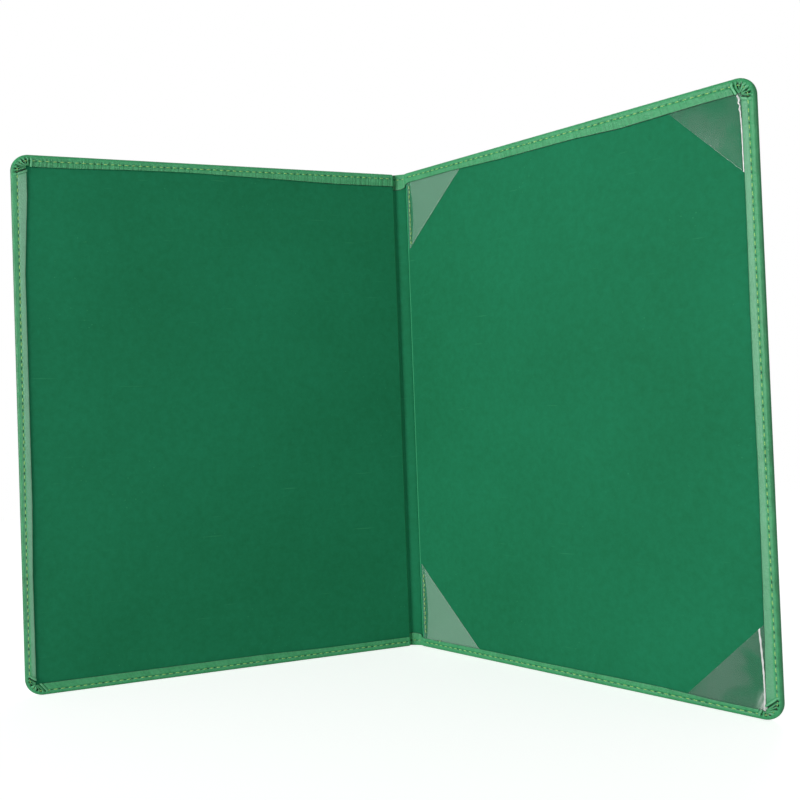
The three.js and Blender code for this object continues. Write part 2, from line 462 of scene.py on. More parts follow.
def grain_group() -> bpy.types.NodeTree:
    """Builds the fine pebbled grain that leatherette and coated paper share: a height.

    Returns:
        The node group.
    """
    group = bpy.data.node_groups.new("fine_grain", "ShaderNodeTree")
    group.interface.new_socket("Size", in_out="INPUT", socket_type="NodeSocketFloat")
    group.interface.new_socket("Height", in_out="OUTPUT", socket_type="NodeSocketFloat")
    nodes = Nodes(group)
    given = nodes.add("NodeGroupInput")
    place = nodes.add("ShaderNodeTexCoord").outputs["Object"]
    size = given.outputs["Size"]
    cells = nodes.add("ShaderNodeTexVoronoi", feature="F1", Vector=place, Scale=size)
    fine = nodes.add("ShaderNodeTexNoise", Vector=place, Scale=size, Detail=2.0, Roughness=0.6)
    pebbles = nodes.math("MULTIPLY", cells.outputs["Distance"], 0.7)
    height = nodes.math("ADD", pebbles, fine.outputs["Fac"])
    out = nodes.add("NodeGroupOutput")
    nodes.feed(out.inputs["Height"], height)
    return group


def mottle_group() -> bpy.types.NodeTree:
    """Builds soft clouds of tone, large and small, for the sheets: one value about 0.5.

    Returns:
        The node group.
    """
    group = bpy.data.node_groups.new("soft_clouds", "ShaderNodeTree")
    group.interface.new_socket("Large", in_out="INPUT", socket_type="NodeSocketFloat")
    group.interface.new_socket("Small", in_out="INPUT", socket_type="NodeSocketFloat")
    group.interface.new_socket("Cloud", in_out="OUTPUT", socket_type="NodeSocketFloat")
    nodes = Nodes(group)
    given = nodes.add("NodeGroupInput")
    place = nodes.add("ShaderNodeTexCoord").outputs["Object"]
    wide, fine = given.outputs["Large"], given.outputs["Small"]
    large = nodes.add("ShaderNodeTexNoise", Vector=place, Scale=wide, Detail=3.0, Roughness=0.55)
    small = nodes.add("ShaderNodeTexNoise", Vector=place, Scale=fine, Detail=3.0, Roughness=0.7)
    both = nodes.math("ADD", large.outputs["Fac"], small.outputs["Fac"])
    out = nodes.add("NodeGroupOutput")
    nodes.feed(out.inputs["Cloud"], nodes.math("MULTIPLY", both, 0.5))
    return group


def scuff_group() -> bpy.types.NodeTree:
    """Builds sparse light specks and short scratches: a mask of how scuffed a place is.

    Returns:
        The node group.
    """
    group = bpy.data.node_groups.new("scuffs", "ShaderNodeTree")
    group.interface.new_socket("Amount", in_out="INPUT", socket_type="NodeSocketFloat")
    group.interface.new_socket("Mask", in_out="OUTPUT", socket_type="NodeSocketFloat")
    nodes = Nodes(group)
    given = nodes.add("NodeGroupInput")
    place = nodes.add("ShaderNodeTexCoord").outputs["Object"]
    specks = nodes.add("ShaderNodeTexVoronoi", feature="F1", Vector=place, Scale=260.0)
    dots = nodes.ramp(specks.outputs["Distance"], 0.05, 0.12, 1.0, 0.0)
    where = nodes.add("ShaderNodeTexNoise", Vector=place, Scale=30.0, Detail=2.0)
    some = nodes.ramp(where.outputs["Fac"], 0.56, 0.68)
    turned = (0.0, 0.3, 0.2)
    stretch_map_and_edge_highlight = nodes.add("ShaderNodeMapping", Vector=place, Rotation=turned, Scale=(9.0, 9.0, 160.0))
    lines = nodes.add("ShaderNodeTexNoise", Vector=stretch_map_and_edge_highlight.outputs["Vector"], Scale=4.0, Detail=2.0)
    hair = nodes.ramp(lines.outputs["Fac"], 0.72, 0.78)
    both = nodes.math("MAXIMUM", nodes.math("MULTIPLY", dots, some), nodes.math("MULTIPLY", hair, 0.6))
    out = nodes.add("NodeGroupOutput")
    nodes.feed(out.inputs["Mask"], nodes.math("MULTIPLY", both, given.outputs["Amount"]))
    return group


@dataclass
class Finishes:
    """The node groups and materials of the cover, built once."""

    grain: bpy.types.NodeTree = field(default_factory=grain_group)
    mottle: bpy.types.NodeTree = field(default_factory=mottle_group)
    scuffs: bpy.types.NodeTree = field(default_factory=scuff_group)

    @staticmethod
    def start(name: str) -> tuple[bpy.types.Material, Nodes, bpy.types.Node]:
        """Makes an empty material with its main shader and output.

        Args:
            name: The material's name.

        Returns:
            The material, its nodes and its shader.
        """
        material = bpy.data.materials.new(name)
        material.use_nodes = True
        material.node_tree.nodes.clear()
        nodes = Nodes(material.node_tree)
        shader = nodes.add("ShaderNodeBsdfPrincipled")
        nodes.add("ShaderNodeOutputMaterial", Surface=shader.outputs["BSDF"])
        return material, nodes, shader

    @staticmethod
    def group(nodes: Nodes, tree: bpy.types.NodeTree, **values: float) -> bpy.types.NodeSocket:
        """Places a shared group and gives its first output.

        Args:
            nodes: The material's nodes.
            tree: The group to place.
            **values: Its inputs by name.

        Returns:
            The group's first output.
        """
        node = nodes.add("ShaderNodeGroup", node_tree=tree)
        for key, value in values.items():
            node.inputs[key].default_value = value
        return node.outputs[0]

    def leatherette(self) -> bpy.types.Material:
        """Green leatherette, half gloss, finely grained, with painted sheen on the outer hems, painted shade
        in hollows and wrinkles, and painted highlight on ridges.

        Returns:
            The finished material.
        """
        material, nodes, shader = self.start("green_leatherette")
        deep, pale = colour(48, 148, 91), colour(71, 173, 114)
        sheen_tone, ridge_highlight = colour(126, 184, 150), colour(128, 212, 158)
        hollow_shade, wrinkle_shade = colour(8, 46, 27), colour(24, 92, 56)
        cloud = self.group(nodes, self.mottle, Large=22.0, Small=420.0)
        tone = nodes.mix(nodes.ramp(cloud, 0.3, 0.7), deep, pale)
        # Painted sheen: the outer hems are drawn paler, in clouds.
        wear = nodes.kept("wear")
        sheen_share = nodes.math("MULTIPLY", wear, nodes.ramp(cloud, 0.3, 0.7, 0.35, 0.6))
        tone = nodes.mix(sheen_share, tone, sheen_tone)
        # Painted shade where the relief value is low, and a painted highlight where it is high.
        relief = nodes.kept("relief")
        tone = nodes.mix(nodes.ramp(relief, 0.44, 0.1), tone, hollow_shade)
        tone = nodes.mix(nodes.ramp(relief, 0.6, 1.0, 0.0, 0.55), tone, ridge_highlight)
        nodes.feed(shader.inputs["Roughness"], nodes.ramp(cloud, 0.3, 0.7, 0.36, 0.5))
        shader.inputs["Specular IOR Level"].default_value = 0.45
        run = nodes.kept("hem_run")
        strength = nodes.kept("wrinkled")
        folds = nodes.add("ShaderNodeTexNoise", noise_dimensions="1D", W=run, Scale=0.6, Detail=2.0)
        wrinkle = nodes.math("MULTIPLY", nodes.ramp(folds.outputs["Fac"], 0.56, 0.38), strength)
        # Painted shade in the wrinkles' creases; the same wrinkles also bump the surface.
        tone = nodes.mix(nodes.math("MULTIPLY", wrinkle, 0.45), tone, wrinkle_shade)
        nodes.feed(shader.inputs["Base Color"], tone)
        wrinkle_bump = nodes.add("ShaderNodeBump", Strength=0.6, Distance=0.0004, Height=wrinkle, invert=True)
        height = self.group(nodes, self.grain, Size=1100.0)
        relief_bump = nodes.add("ShaderNodeBump", Strength=0.5, Distance=0.0003, Height=height)
        nodes.feed(relief_bump.inputs["Normal"], wrinkle_bump.outputs["Normal"])
        nodes.feed(shader.inputs["Normal"], relief_bump.outputs["Normal"])
        return material

    def lining(self) -> bpy.types.Material:
        """Dark green coated lining, matte, faintly clouded, with a few light specks and scratches, and a
        painted highlight along the board's rounded edge.

        Returns:
            The finished material.
        """
        material, nodes, shader = self.start("green_lining")
        deep, pale = colour(21, 112, 72), colour(30, 128, 88)
        # The second colour here is a painted highlight for the board's rounded edge, where it catches the
        # light.
        stretch_map_and_edge_highlight, scratched = colour(84, 196, 142), colour(70, 165, 115)
        cloud = self.group(nodes, self.mottle, Large=9.0, Small=260.0)
        tone = nodes.mix(nodes.ramp(cloud, 0.32, 0.68), deep, pale)
        stretch = nodes.kept("stretch")
        tone = nodes.mix(stretch, tone, stretch_map_and_edge_highlight)
        worn = self.group(nodes, self.scuffs, Amount=0.35)
        nodes.feed(shader.inputs["Base Color"], nodes.mix(worn, tone, scratched))
        nodes.feed(shader.inputs["Roughness"], nodes.ramp(cloud, 0.3, 0.7, 0.62, 0.74))
        shader.inputs["Specular IOR Level"].default_value = 0.1
        height = self.group(nodes, self.grain, Size=2200.0)
        relief_bump = nodes.add("ShaderNodeBump", Strength=0.08, Distance=0.0002, Height=height)
        nodes.feed(shader.inputs["Normal"], relief_bump.outputs["Normal"])
        return material

    def thread(self) -> bpy.types.Material:
        """Pale yellow-green sewing thread, with the light and dark of its plies.

        Returns:
            The finished material.
        """
        material, nodes, shader = self.start("sewing_thread")
        place = nodes.add("ShaderNodeTexCoord").outputs["Object"]
        dark, light = colour(112, 178, 84), colour(186, 228, 142)
        plies = nodes.add(
            "ShaderNodeTexWave", bands_direction="DIAGONAL", Vector=place, Scale=900.0, Distortion=1.5
        )
        tone = nodes.mix(plies.outputs["Fac"], dark, light)
        nodes.feed(shader.inputs["Base Color"], tone)
        shader.inputs["Roughness"].default_value = 0.55
        shader.inputs["Sheen Weight"].default_value = 0.2
        relief_bump = nodes.add("ShaderNodeBump", Strength=0.4, Distance=0.0001, Height=plies.outputs["Fac"])
        nodes.feed(shader.inputs["Normal"], relief_bump.outputs["Normal"])
        return material

    def film(self) -> bpy.types.Material:
        """Clear film with its reflections painted in: a soft haze where it would mirror the room, whitish or
        grey, with painted highlights on its rolls and edges.

        Returns:
            The finished material.
        """
        material, nodes, shader = self.start("clear_film")
        # Painted reflection: the haze, its soft waves and the white glints are drawn as alpha and a pale base
        # colour.
        veil = nodes.kept("veil")
        rim = nodes.kept("rim")
        milk = nodes.kept("milk")
        place = nodes.add("ShaderNodeTexCoord").outputs["Object"]
        waves = nodes.add("ShaderNodeTexNoise", Vector=place, Scale=38.0, Detail=1.0, Distortion=0.8)
        soft = nodes.ramp(waves.outputs["Fac"], 0.42, 0.56, 0.5, 1.25)
        calm = nodes.add("ShaderNodeMix", data_type="FLOAT")
        for index, value in ((0, milk), (2, soft), (3, 1.0)):
            nodes.feed(calm.inputs[index], value)
        alpha = nodes.math("MAXIMUM", nodes.math("MULTIPLY", veil, calm.outputs[0]), rim)
        nodes.feed(shader.inputs["Alpha"], alpha)
        grey, whitish_reflection, shine = colour(122, 160, 140), colour(165, 212, 186), colour(250, 250, 248)
        pale = nodes.mix(milk, grey, whitish_reflection)
        white = nodes.ramp(nodes.math("MULTIPLY", rim, milk), 0.0, 0.5)
        nodes.feed(shader.inputs["Base Color"], nodes.mix(white, pale, shine))
        shader.inputs["Roughness"].default_value = 0.15
        shader.inputs["Specular IOR Level"].default_value = 0.5
        relief_bump = nodes.add("ShaderNodeBump", Strength=0.2, Distance=0.0006, Height=waves.outputs["Fac"])
        nodes.feed(shader.inputs["Normal"], relief_bump.outputs["Normal"])
        return material

    def board(self) -> bpy.types.Material:
        """Grey bookbinding board with fibres.

        Returns:
            The finished material.
        """
        material, nodes, shader = self.start("grey_board")
        cloud = self.group(nodes, self.mottle, Large=60.0, Small=900.0)
        dark, light = colour(168, 160, 142), colour(198, 190, 170)
        tone = nodes.mix(nodes.ramp(cloud, 0.35, 0.65), dark, light)
        nodes.feed(shader.inputs["Base Color"], tone)
        shader.inputs["Roughness"].default_value = 0.9
        height = self.group(nodes, self.grain, Size=900.0)
        relief_bump = nodes.add("ShaderNodeBump", Strength=0.2, Distance=0.0002, Height=height)
        nodes.feed(shader.inputs["Normal"], relief_bump.outputs["Normal"])
        return material


@dataclass(frozen=True)
class Column:
    """One place along the hem, from the middle of the spine at the top round to the bottom."""

    edge: tuple[float, float]
    inner: tuple[float, float]
    outward: tuple[float, float]
    seam_inset: float
    thickness: float
    run: float
    gather: float

    @property
    def seam(self) -> tuple[float, float]:
        """The point of the seam here."""
        return self.inside(self.seam_inset)

    def inside(self, inset: float) -> tuple[float, float]:
        """The point at a distance inside the outer edge."""
        return self.edge[0] - inset * self.outward[0], self.edge[1] - inset * self.outward[1]

    def mirrored(self, height: float, run: float) -> "Column":
        """The same place at the other end of a cover of the given height.

        Args:
            height: Height of the cover.
            run: The mirrored place's distance along the seam.

        Returns:
            The mirrored column.
        """
        return replace(
            self,
            edge=(self.edge[0], height - self.edge[1]),
            inner=(self.inner[0], height - self.inner[1]),
            outward=(self.outward[0], -self.outward[1]),
            run=run,
        )


@dataclass(frozen=True)
class HemCut:
    """How wide the hand-cut hem is, in millimetres at distances in millimetres, along one cover's edges."""

    top: tuple[tuple[float, float], ...]
    bottom: tuple[tuple[float, float], ...]
    outer: tuple[tuple[float, float], ...]

    def width(self, edge: str, place: float) -> float:
        """Width of the hem at a place on the named edge, eased between the given points.

        Args:
            edge: top, bottom or outer.
            place: Distance along the edge, in metres.

        Returns:
            The width, in metres.
        """
        places, widths = zip(*getattr(self, edge))
        return float(np.interp(place / MM, places, widths)) * MM

    def beside_corner(self, end: End, height: float) -> float:
        """Width of the outer edge's hem where it meets the gathers at the top or the bottom.

        Args:
            end: Top or bottom.
            height: Height of the cover.

        Returns:
            The width, in metres.
        """
        reach = 25.0 * MM
        return self.width("outer", height - reach if end is End.TOP else reach)


# The hems as they are cut in the photo, measured there at a few places.
HEM_CUTS = {
    Side.LEFT: HemCut(
        top=((0, 8.2), (40, 8.4), (90, 7.0), (135, 6.0), (165, 6.2), (205, 7.2)),
        bottom=((0, 6.2), (60, 6.25), (95, 7.0), (205, 6.9)),
        outer=((20, 6.0), (70, 5.9), (110, 6.7), (240, 6.6), (285, 8.8)),
    ),
    Side.RIGHT: HemCut(
        top=((0, 6.8), (40, 6.7), (80, 7.9), (130, 8.0), (160, 9.2), (205, 8.1)),
        bottom=((0, 5.6), (60, 6.1), (90, 5.8), (170, 5.9), (200, 4.8)),
        outer=((20, 8.1), (45, 7.5), (110, 7.0), (200, 7.4), (240, 7.1), (285, 7.2)),
    ),
}

# How far the hem's free edge draws back in the gathers of each corner.
RETREATS = {
    (Side.LEFT, End.TOP): 0.9 * MM,
    (Side.LEFT, End.BOTTOM): 0.8 * MM,
    (Side.RIGHT, End.TOP): 0.7 * MM,
    (Side.RIGHT, End.BOTTOM): 0.6 * MM,
}


@dataclass
class HemPath:
    """The course of the seam round one cover, divided into the columns of the wrapped sheet."""

    side: Side
    sizes: CoverSizes
    layers: Layers
    gather_margin: float = 2.6 * MM
    seam_drift: float = 0.6 * MM
    steps_in_stitch: tuple[float, ...] = (0.0, 0.11, 0.32, 0.68, 0.89)
    corner_columns: int = 150
    fold_step: float = 0.2 * MM
    fold_end: float = 2.9 * MM
    stitched_from: float = 3.2 * MM

    @property
    def straight(self) -> float:
        """Length of the seam from the fold line to where a corner starts."""
        return self.sizes.width - self.sizes.corner

    @property
    def upright(self) -> float:
        """Length of the seam's straight stretch along the outer edge."""
        return self.sizes.height - 2 * self.sizes.corner

    @property
    def turn(self) -> float:
        """Length of the seam round one corner."""
        return (self.sizes.corner - self.sizes.seam) * math.pi / 2

    @property
    def length(self) -> float:
        """Length of the seam from the fold line at the top to the fold line at the bottom."""
        return 2 * (self.straight + self.turn) + self.upright

    @property
    def stitches(self) -> int:
        """How many stitches the whole seam takes."""
        return round(self.length / self.sizes.pitch)

    @property
    def pitch(self) -> float:
        """The stitch length that divides the seam evenly."""
        return self.length / self.stitches

    def thickness_at(self, along: float) -> float:
        """Thickness at the hem, which steps down sharply beside the left fold and gently beside the right.

        Args:
            along: Distance from the fold line.

        Returns:
            The thickness, in metres.
        """
        if self.side is Side.LEFT:
            rise = smooth(self.sizes.step - 0.45 * MM, self.sizes.step + 0.75 * MM, along)
            rise -= 0.2 * self.pinch(along)
        else:
            rise = smooth(-2.4 * MM, 2.1 * MM, along)
        return self.layers.strip_total + (self.layers.total - self.layers.strip_total) * float(rise)

    def pinch(self, along: np.ndarray | float) -> np.ndarray | float:
        """Shape of the pinched crease beside the left fold: 1 at its deepest."""
        return bump(along, 0.5 * MM, 0.6 * MM) if self.side is Side.LEFT else 0.0 * along

    def hem_at(self, along: float, end: End) -> float:
        """Width of the hem at the top or bottom, which reaches further in on the spine strip.

        Args:
            along: Distance from the fold line.
            end: Top or bottom.

        Returns:
            The width, in metres.
        """
        panel = HEM_CUTS[self.side].width(end.word, max(along, 0.0))
        strip = HEM_CUTS[Side.LEFT].width(end.word, 0.0) + self.sizes.strip_hem - self.sizes.hem
        if self.side is Side.LEFT:
            rise = float(smooth(self.sizes.step - 0.2 * MM, self.sizes.step + 0.7 * MM, along))
        else:
            rise = min(1.0, (along + self.sizes.half_spine) / (self.sizes.half_spine + 4.0 * MM))
        return strip + (panel - strip) * rise

    def at(self, run: float) -> Column:
        """The column at a distance along the seam; negative or past the end on the spine strip.

        Args:
            run: Distance along the seam from the fold line at the top.

        Returns:
            The column there.
        """
        if run > self.length / 2:
            column = self.upper(self.length - run, End.BOTTOM)
            return column.mirrored(self.sizes.height, run)
        return self.upper(run, End.TOP)

    def upper(self, run: float, end: End) -> Column:
        """The column of the upper half, with the hem as it is cut at the given end.

        Args:
            run: Distance along the seam from the fold line.
            end: The end whose hem is followed.

        Returns:
            The column, as at the top.
        """
        margin = self.gather_margin
        gather = (run - self.straight + margin) / (self.turn + 2 * margin)
        gathered = float(smooth(0.0, 0.3, gather) * (1.0 - smooth(0.7, 1.0, gather)))
        back_off = RETREATS[self.side, end] * gathered
        if run <= self.straight:
            return self.before_corner(run, end, gather, back_off)
        return self.past_corner_start(run, end, gather, back_off)

    def inner_centre(self, end: End) -> tuple[float, float]:
        """The middle of the small round corner of the hem's free edge.

        Args:
            end: The end whose hem is followed.

        Returns:
            Distance from the fold line, and height, as at the top.
        """
        sizes = self.sizes
        across = HEM_CUTS[self.side].beside_corner(end, sizes.height) + sizes.inner_corner
        down = self.hem_at(self.straight, end) + sizes.inner_corner
        return sizes.width - across, sizes.height - down

    def before_corner(self, run: float, end: End, gather: float, back_off: float) -> Column:
        """The column on the straight stretch along the top.

        Args:
            run: Distance along the seam from the fold line.
            end: The end whose hem is followed.
            gather: Share of the way through the corner's gathers.
            back_off: How far the free edge draws back.

        Returns:
            The column, as at the top.
        """
        edge = (run, self.sizes.height)
        along = run * self.inner_centre(end)[0] / self.straight if run > 0 else run
        inner = (along, self.sizes.height - self.hem_at(run, end) + back_off)
        inset, thickness = self.inset_at(edge, end), self.thickness_at(run)
        return Column(edge, inner, (0.0, 1.0), inset, thickness, run, gather)

    def past_corner_start(self, run: float, end: End, gather: float, back_off: float) -> Column:
        """The column round the corner, or below it along the outer edge.

        Args:
            run: Distance along the seam from the fold line.
            end: The end whose hem is followed.
            gather: Share of the way through the corner's gathers.
            back_off: How far the free edge draws back.

        Returns:
            The column, as at the top.
        """
        sizes = self.sizes
        centre_x, centre_z = self.inner_centre(end)
        angle = math.pi / 2 * (1.0 - min(1.0, (run - self.straight) / self.turn))
        outward = (math.cos(angle), math.sin(angle))
        below = max(0.0, run - self.straight - self.turn)
        corner_z = sizes.height - sizes.corner
        edge = (self.straight + sizes.corner * outward[0], corner_z + sizes.corner * outward[1] - below)
        radius = sizes.inner_corner + back_off
        inner = (centre_x + radius * outward[0], centre_z + radius * outward[1])
        if below > 0.0:
            up = edge[1] if end is End.TOP else sizes.height - edge[1]
            drop = below * (centre_z - sizes.height / 2) / (self.upright / 2)
            inner = (sizes.width - HEM_CUTS[self.side].width("outer", up) + back_off, centre_z - drop)
        return Column(edge, inner, outward, self.inset_at(edge, end), self.layers.total, run, gather)

    def inset_at(self, edge: tuple[float, float], end: End) -> float:
        """Distance of the seam from the edge, wider at the upper outer corner and narrower at the lower.

        Args:
            edge: The point of the outer edge.
            end: Top or bottom.

        Returns:
            The distance, in metres.
        """
        share = edge[0] / self.sizes.width * (2 * edge[1] / self.sizes.height - 1.0)
        return self.sizes.seam + end.value * self.seam_drift * max(0.0, share)

    def runs(self) -> list[float]:
        """The distances along the seam at which the sheet has columns.

        Returns:
            The distances, in order.
        """
        sizes = self.sizes
        strip = [-sizes.half_spine, -0.75 * sizes.half_spine]
        fold = [index * self.fold_step for index in range(-12, 15)]
        corner_from = self.straight - self.gather_margin - 1.0 * MM
        corner_to = self.straight + self.turn + self.gather_margin + 1.0 * MM
        found = strip + fold
        for stitch in range(self.stitches):
            for share in self.steps_in_stitch:
                run = (stitch + share) * self.pitch
                if self.stitched_from < run < corner_from or corner_to < run < self.length / 2:
                    found.append(run)
        step = (corner_to - corner_from) / self.corner_columns
        found += [corner_from + index * step for index in range(self.corner_columns + 1)]
        half = sorted(run for run in found if run < self.length / 2 - 0.1 * MM)
        return half + [self.length / 2] + [self.length - run for run in reversed(half)]


@dataclass
class WrappedSheet:
    """The outer leatherette sheet of one cover, with its half of the spine strip."""

    side: Side
    sizes: CoverSizes
    layers: Layers
    fold: FoldFrame
    path: HemPath
    gather_count: int = 8
    gather_depth: float = 1.7 * MM
    relief_range: float = 0.45 * MM
    groove_depth: float = 0.2 * MM
    hole_depth: float = 0.3 * MM
    puff: float = 0.14 * MM
    back_inset: float = 4.2 * MM
    round_edge: tuple[float, float] = (1.2 * MM, 2.4 * MM)
    past_hem: tuple[float, float] = (9.0 * MM, 14.0 * MM)
    inner_shares: tuple[float, ...] = (1.0, 0.97, 0.92, 0.83, 0.7, 0.56, 0.42, 0.3, 0.19, 0.11, 0.05)
    outer_insets: tuple[float, ...] = (1.0, 0.9, 0.78, 0.66)
    round_steps: int = 5

    def rows(self) -> list[tuple[str, float]]:
        """The rows across the sheet, from the hem's free edge over the turned edge to the back.

        Returns:
            For each row its kind and its share.
        """
        found = [("inner", share) for share in self.inner_shares]
        found += [("hem", share) for share in self.outer_insets]
        found += [("front", step / self.round_steps) for step in range(self.round_steps + 1)]
        found += [("back", step / self.round_steps) for step in range(self.round_steps + 1)]
        found += [("plate", 0.45), ("plate", 1.0)]
        return found

    def relief(self, column: Column, row: tuple[str, float], inset: float) -> float:
        """How far the hem stands above or below its flat, from gathers, seam groove, holes and puff.

        Args:
            column: The place along the hem.
            row: The kind of row and its share.
            inset: Distance from the outer edge.

        Returns:
            The height, in metres, towards the front.
        """
        if row[0] in ("back", "plate"):
            return 0.0
        sizes = self.sizes
        seam_line = bump(inset, column.seam_inset, 0.55 * MM)
        nearest = abs((column.run / self.path.pitch + 0.5) % 1.0 - 0.5) * self.path.pitch
        hole = bump(nearest, 0.0, 0.42 * MM) * bump(inset, column.seam_inset, 0.42 * MM)
        on_hem = 1.0 if row[0] in ("inner", "hem") else 1.0 - row[1]
        swell = self.puff * math.sin(math.pi * min(1.0, inset / sizes.hem)) * on_hem
        # The free hem is never quite flat: it waves a little along the seam.
        wave = 0.05 * MM * math.sin(column.run * 410.0 + 1.3) * math.sin(column.run * 97.0) * on_hem
        height = swell + wave - self.groove_depth * seam_line - self.hole_depth * hole
        return height + self.gather_height(column, row, inset)

    def gather_height(self, column: Column, row: tuple[str, float], inset: float) -> float:
        """Height of the gathers at a corner: ridges that fan out from the free edge and end past the seam.

        Args:
            column: The place along the hem.
            row: The kind of row and its share.
            inset: Distance from the outer edge.

        Returns:
            The height, in metres.
        """
        zone = smooth(-0.02, 0.05, column.gather) * (1.0 - smooth(0.95, 1.02, column.gather))
        if zone <= 0.0:
            return 0.0
        ridge = self.ridge(column)
        number = math.floor(column.gather * self.gather_count)
        strength = 0.85 + 0.3 * math.sin(2.4 * number + 0.7 * self.side.value)
        reach = smooth(1.0 * MM, 2.0 * MM, inset) if row[0] in ("inner", "hem") else 0.0
        return float(self.gather_depth * (ridge - 0.62) * zone * strength * reach)

    def ridge(self, column: Column) -> float:
        """Shape across the gathers: 1 on a ridge and 0 in the sharp groove between two.

        Args:
            column: The place along the hem.

        Returns:
            The share of the full height.
        """
        place = column.gather * self.gather_count
        lean = 0.14 * math.sin(2.0 * math.pi * place + 1.7 * math.floor(place))
        return abs(math.sin(math.pi * (place + lean)))

    def point(self, column: Column, row: tuple[str, float]) -> tuple[float, float, float, float]:
        """Flat coordinates of one point of the sheet, and its relief.

        Args:
            column: The place along the hem.
            row: The kind of row and its share.

        Returns:
            Distance from the fold line, height, depth and relief.
        """
        kind, share = row
        radius = min(self.sizes.rounding, column.thickness / 2 - 0.02 * MM)
        if kind == "inner":
            return self.inner_point(column, share)
        quarter = share * math.pi / 2
        by_sine, by_cosine = radius * (1.0 - math.sin(quarter)), radius * (1.0 - math.cos(quarter))
        inset, depth = {
            "hem": (share * column.seam_inset + (1.0 - share) * radius, column.thickness),
            "front": (by_sine, column.thickness - by_cosine),
            "back": (by_cosine, by_sine),
            "plate": (radius + share * (self.back_inset - radius), 0.0),
        }[kind]
        height = self.relief(column, row, inset)
        along, up = column.inside(inset)
        return along, up, depth + height, height

    def inner_point(self, column: Column, share: float) -> tuple[float, float, float, float]:
        """A point between the seam and the hem's free edge, where the gathers end unevenly.

        Args:
            column: The place along the hem.
            share: Share of the way from the seam to the free edge.

        Returns:
            Distance from the fold line, height, depth and relief.
        """
        seam, inner = column.seam, column.inner
        across = share * math.dist(inner, seam)
        height = self.relief(column, ("inner", share), column.seam_inset + across)
        # Painted shadow under the hem's free edge: the relief value is pushed down there, which darkens the
        # colour.
        shadow = 0.4 * MM * float(smooth(0.93, 0.995, share))
        if 0.0 < column.gather < 1.0:
            share *= 1.0 + 0.16 * (self.ridge(column) - 0.5)
        along = seam[0] + share * (inner[0] - seam[0])
        up = seam[1] + share * (inner[1] - seam[1])
        edge_drop = 0.12 * MM * float(smooth(0.9, 1.0, share))
        return along, up, column.thickness + height - edge_drop, height - shadow

    def build(self) -> bpy.types.Object:
        """Wraps a grid round the edge, closes the back, and gives the sheet its thickness.

        Returns:
            The finished sheet.
        """
        columns = [self.path.at(run) for run in self.path.runs()]
        rows = self.rows()
        kept: dict[str, np.ndarray] = {}

        def shape(column: np.ndarray, row: np.ndarray) -> np.ndarray:
            """Places every point of the grid, and keeps the values that the leatherette reads.

            Args:
                column: The column's number, for each point.
                row: The row's number, for each point.

            Returns:
                The points.
            """
            flat = np.array([self.point(columns[int(c)], rows[int(r)]) for c, r in zip(column, row)])
            kinds = np.array([rows[int(r)][0] for r in row])
            on_hem = np.isin(kinds, ("inner", "hem"))
            faces_front = on_hem | (kinds == "front")
            # The relief value only sets colour: painted shade in the gathers' grooves, the seam groove,
            # needle holes, the pinched crease, the rounded outer edge and under the free edge, and a painted
            # highlight on ridges.
            shadow = faces_front * self.crease_shade(flat[:, 0]) + self.edge_shade(flat[:, 0])
            height = flat[:, 3] - shadow
            kept["relief"] = 0.5 + np.clip(height / (2 * self.relief_range), -0.5, 0.5)
            kept["wear"] = self.wear(flat, on_hem)
            kept["hem_run"] = np.array([columns[int(c)].run for c in column]) / MM
            kept["wrinkled"] = on_hem * self.wrinkling(flat)
            return self.fold.place(flat[:, 0], flat[:, 1], flat[:, 2])

        name = f"{self.side.word}_leatherette_sheet"
        piece = grid_piece(name, range(len(columns)), range(len(rows)), shape)
        store(piece, kept)
        self.close_back(piece, columns, len(rows))
        face_outwards(piece, self.fold.middle(self.layers.total / 2))
        apply_modifier(piece, "SOLIDIFY", thickness=self.layers.skin, offset=-1.0, use_even_offset=False)
        shade(piece, 50.0)
        return piece

    def crease_shade(self, along: np.ndarray) -> np.ndarray:
        """Painted shade in the pinched crease beside the left fold, counted as a dip in the relief value."""
        return 0.36 * MM * self.path.pinch(along)

    def wrinkling(self, flat: np.ndarray) -> np.ndarray:
        """How strongly the hem is wrinkled across, in bump and painted shade: most at the left cover's top,
        hardly on the upright hem.

        Args:
            flat: Flat coordinates of the points, one row each.

        Returns:
            The strength at each point.
        """
        strength = np.full(len(flat), 0.35)
        from_end = np.minimum(flat[:, 1], self.sizes.height - flat[:, 1])
        if self.side is Side.LEFT:
            high = smooth(0.6, 0.9, flat[:, 1] / self.sizes.height)
            ends = np.maximum(bump(flat[:, 0], 0.0, 30.0 * MM), bump(flat[:, 0], self.sizes.width, 90.0 * MM))
            strength = strength + 0.55 * high * ends
        return strength * (0.1 + 0.9 * (1.0 - smooth(*self.past_hem, from_end)))

    def edge_shade(self, along: np.ndarray) -> np.ndarray:
        """Painted shade on the rounded outer edge, darker than the hem, whose face carries a painted sheen.
        """
        return 0.18 * MM * (1.0 - smooth(*self.round_edge, self.sizes.width - along))

    def wear(self, flat: np.ndarray, on_hem: np.ndarray) -> np.ndarray:
        """Painted sheen: how much paler the sheet is drawn, most on the outer hem, on both sides of the seam.

        Args:
            flat: Flat coordinates of the points, one row each.
            on_hem: Which points lie on the hem's face.

        Returns:
            The share of wear at each point.
        """
        from_edge = self.sizes.width - flat[:, 0]
        middle = np.abs(flat[:, 1] - self.sizes.height / 2) / (self.sizes.height / 2)
        outer = (1.0 - smooth(8.5 * MM, 10.0 * MM, from_edge)) * (1.0 - smooth(0.9, 0.97, middle))
        outer = outer * smooth(*self.round_edge, from_edge)
        # The painted sheen is drawn stronger on the left cover.
        strength = 1.8 if self.side is Side.LEFT else 1.0
        return strength * outer * on_hem * (1.0 - bump(from_edge, self.sizes.seam, 0.7 * MM))

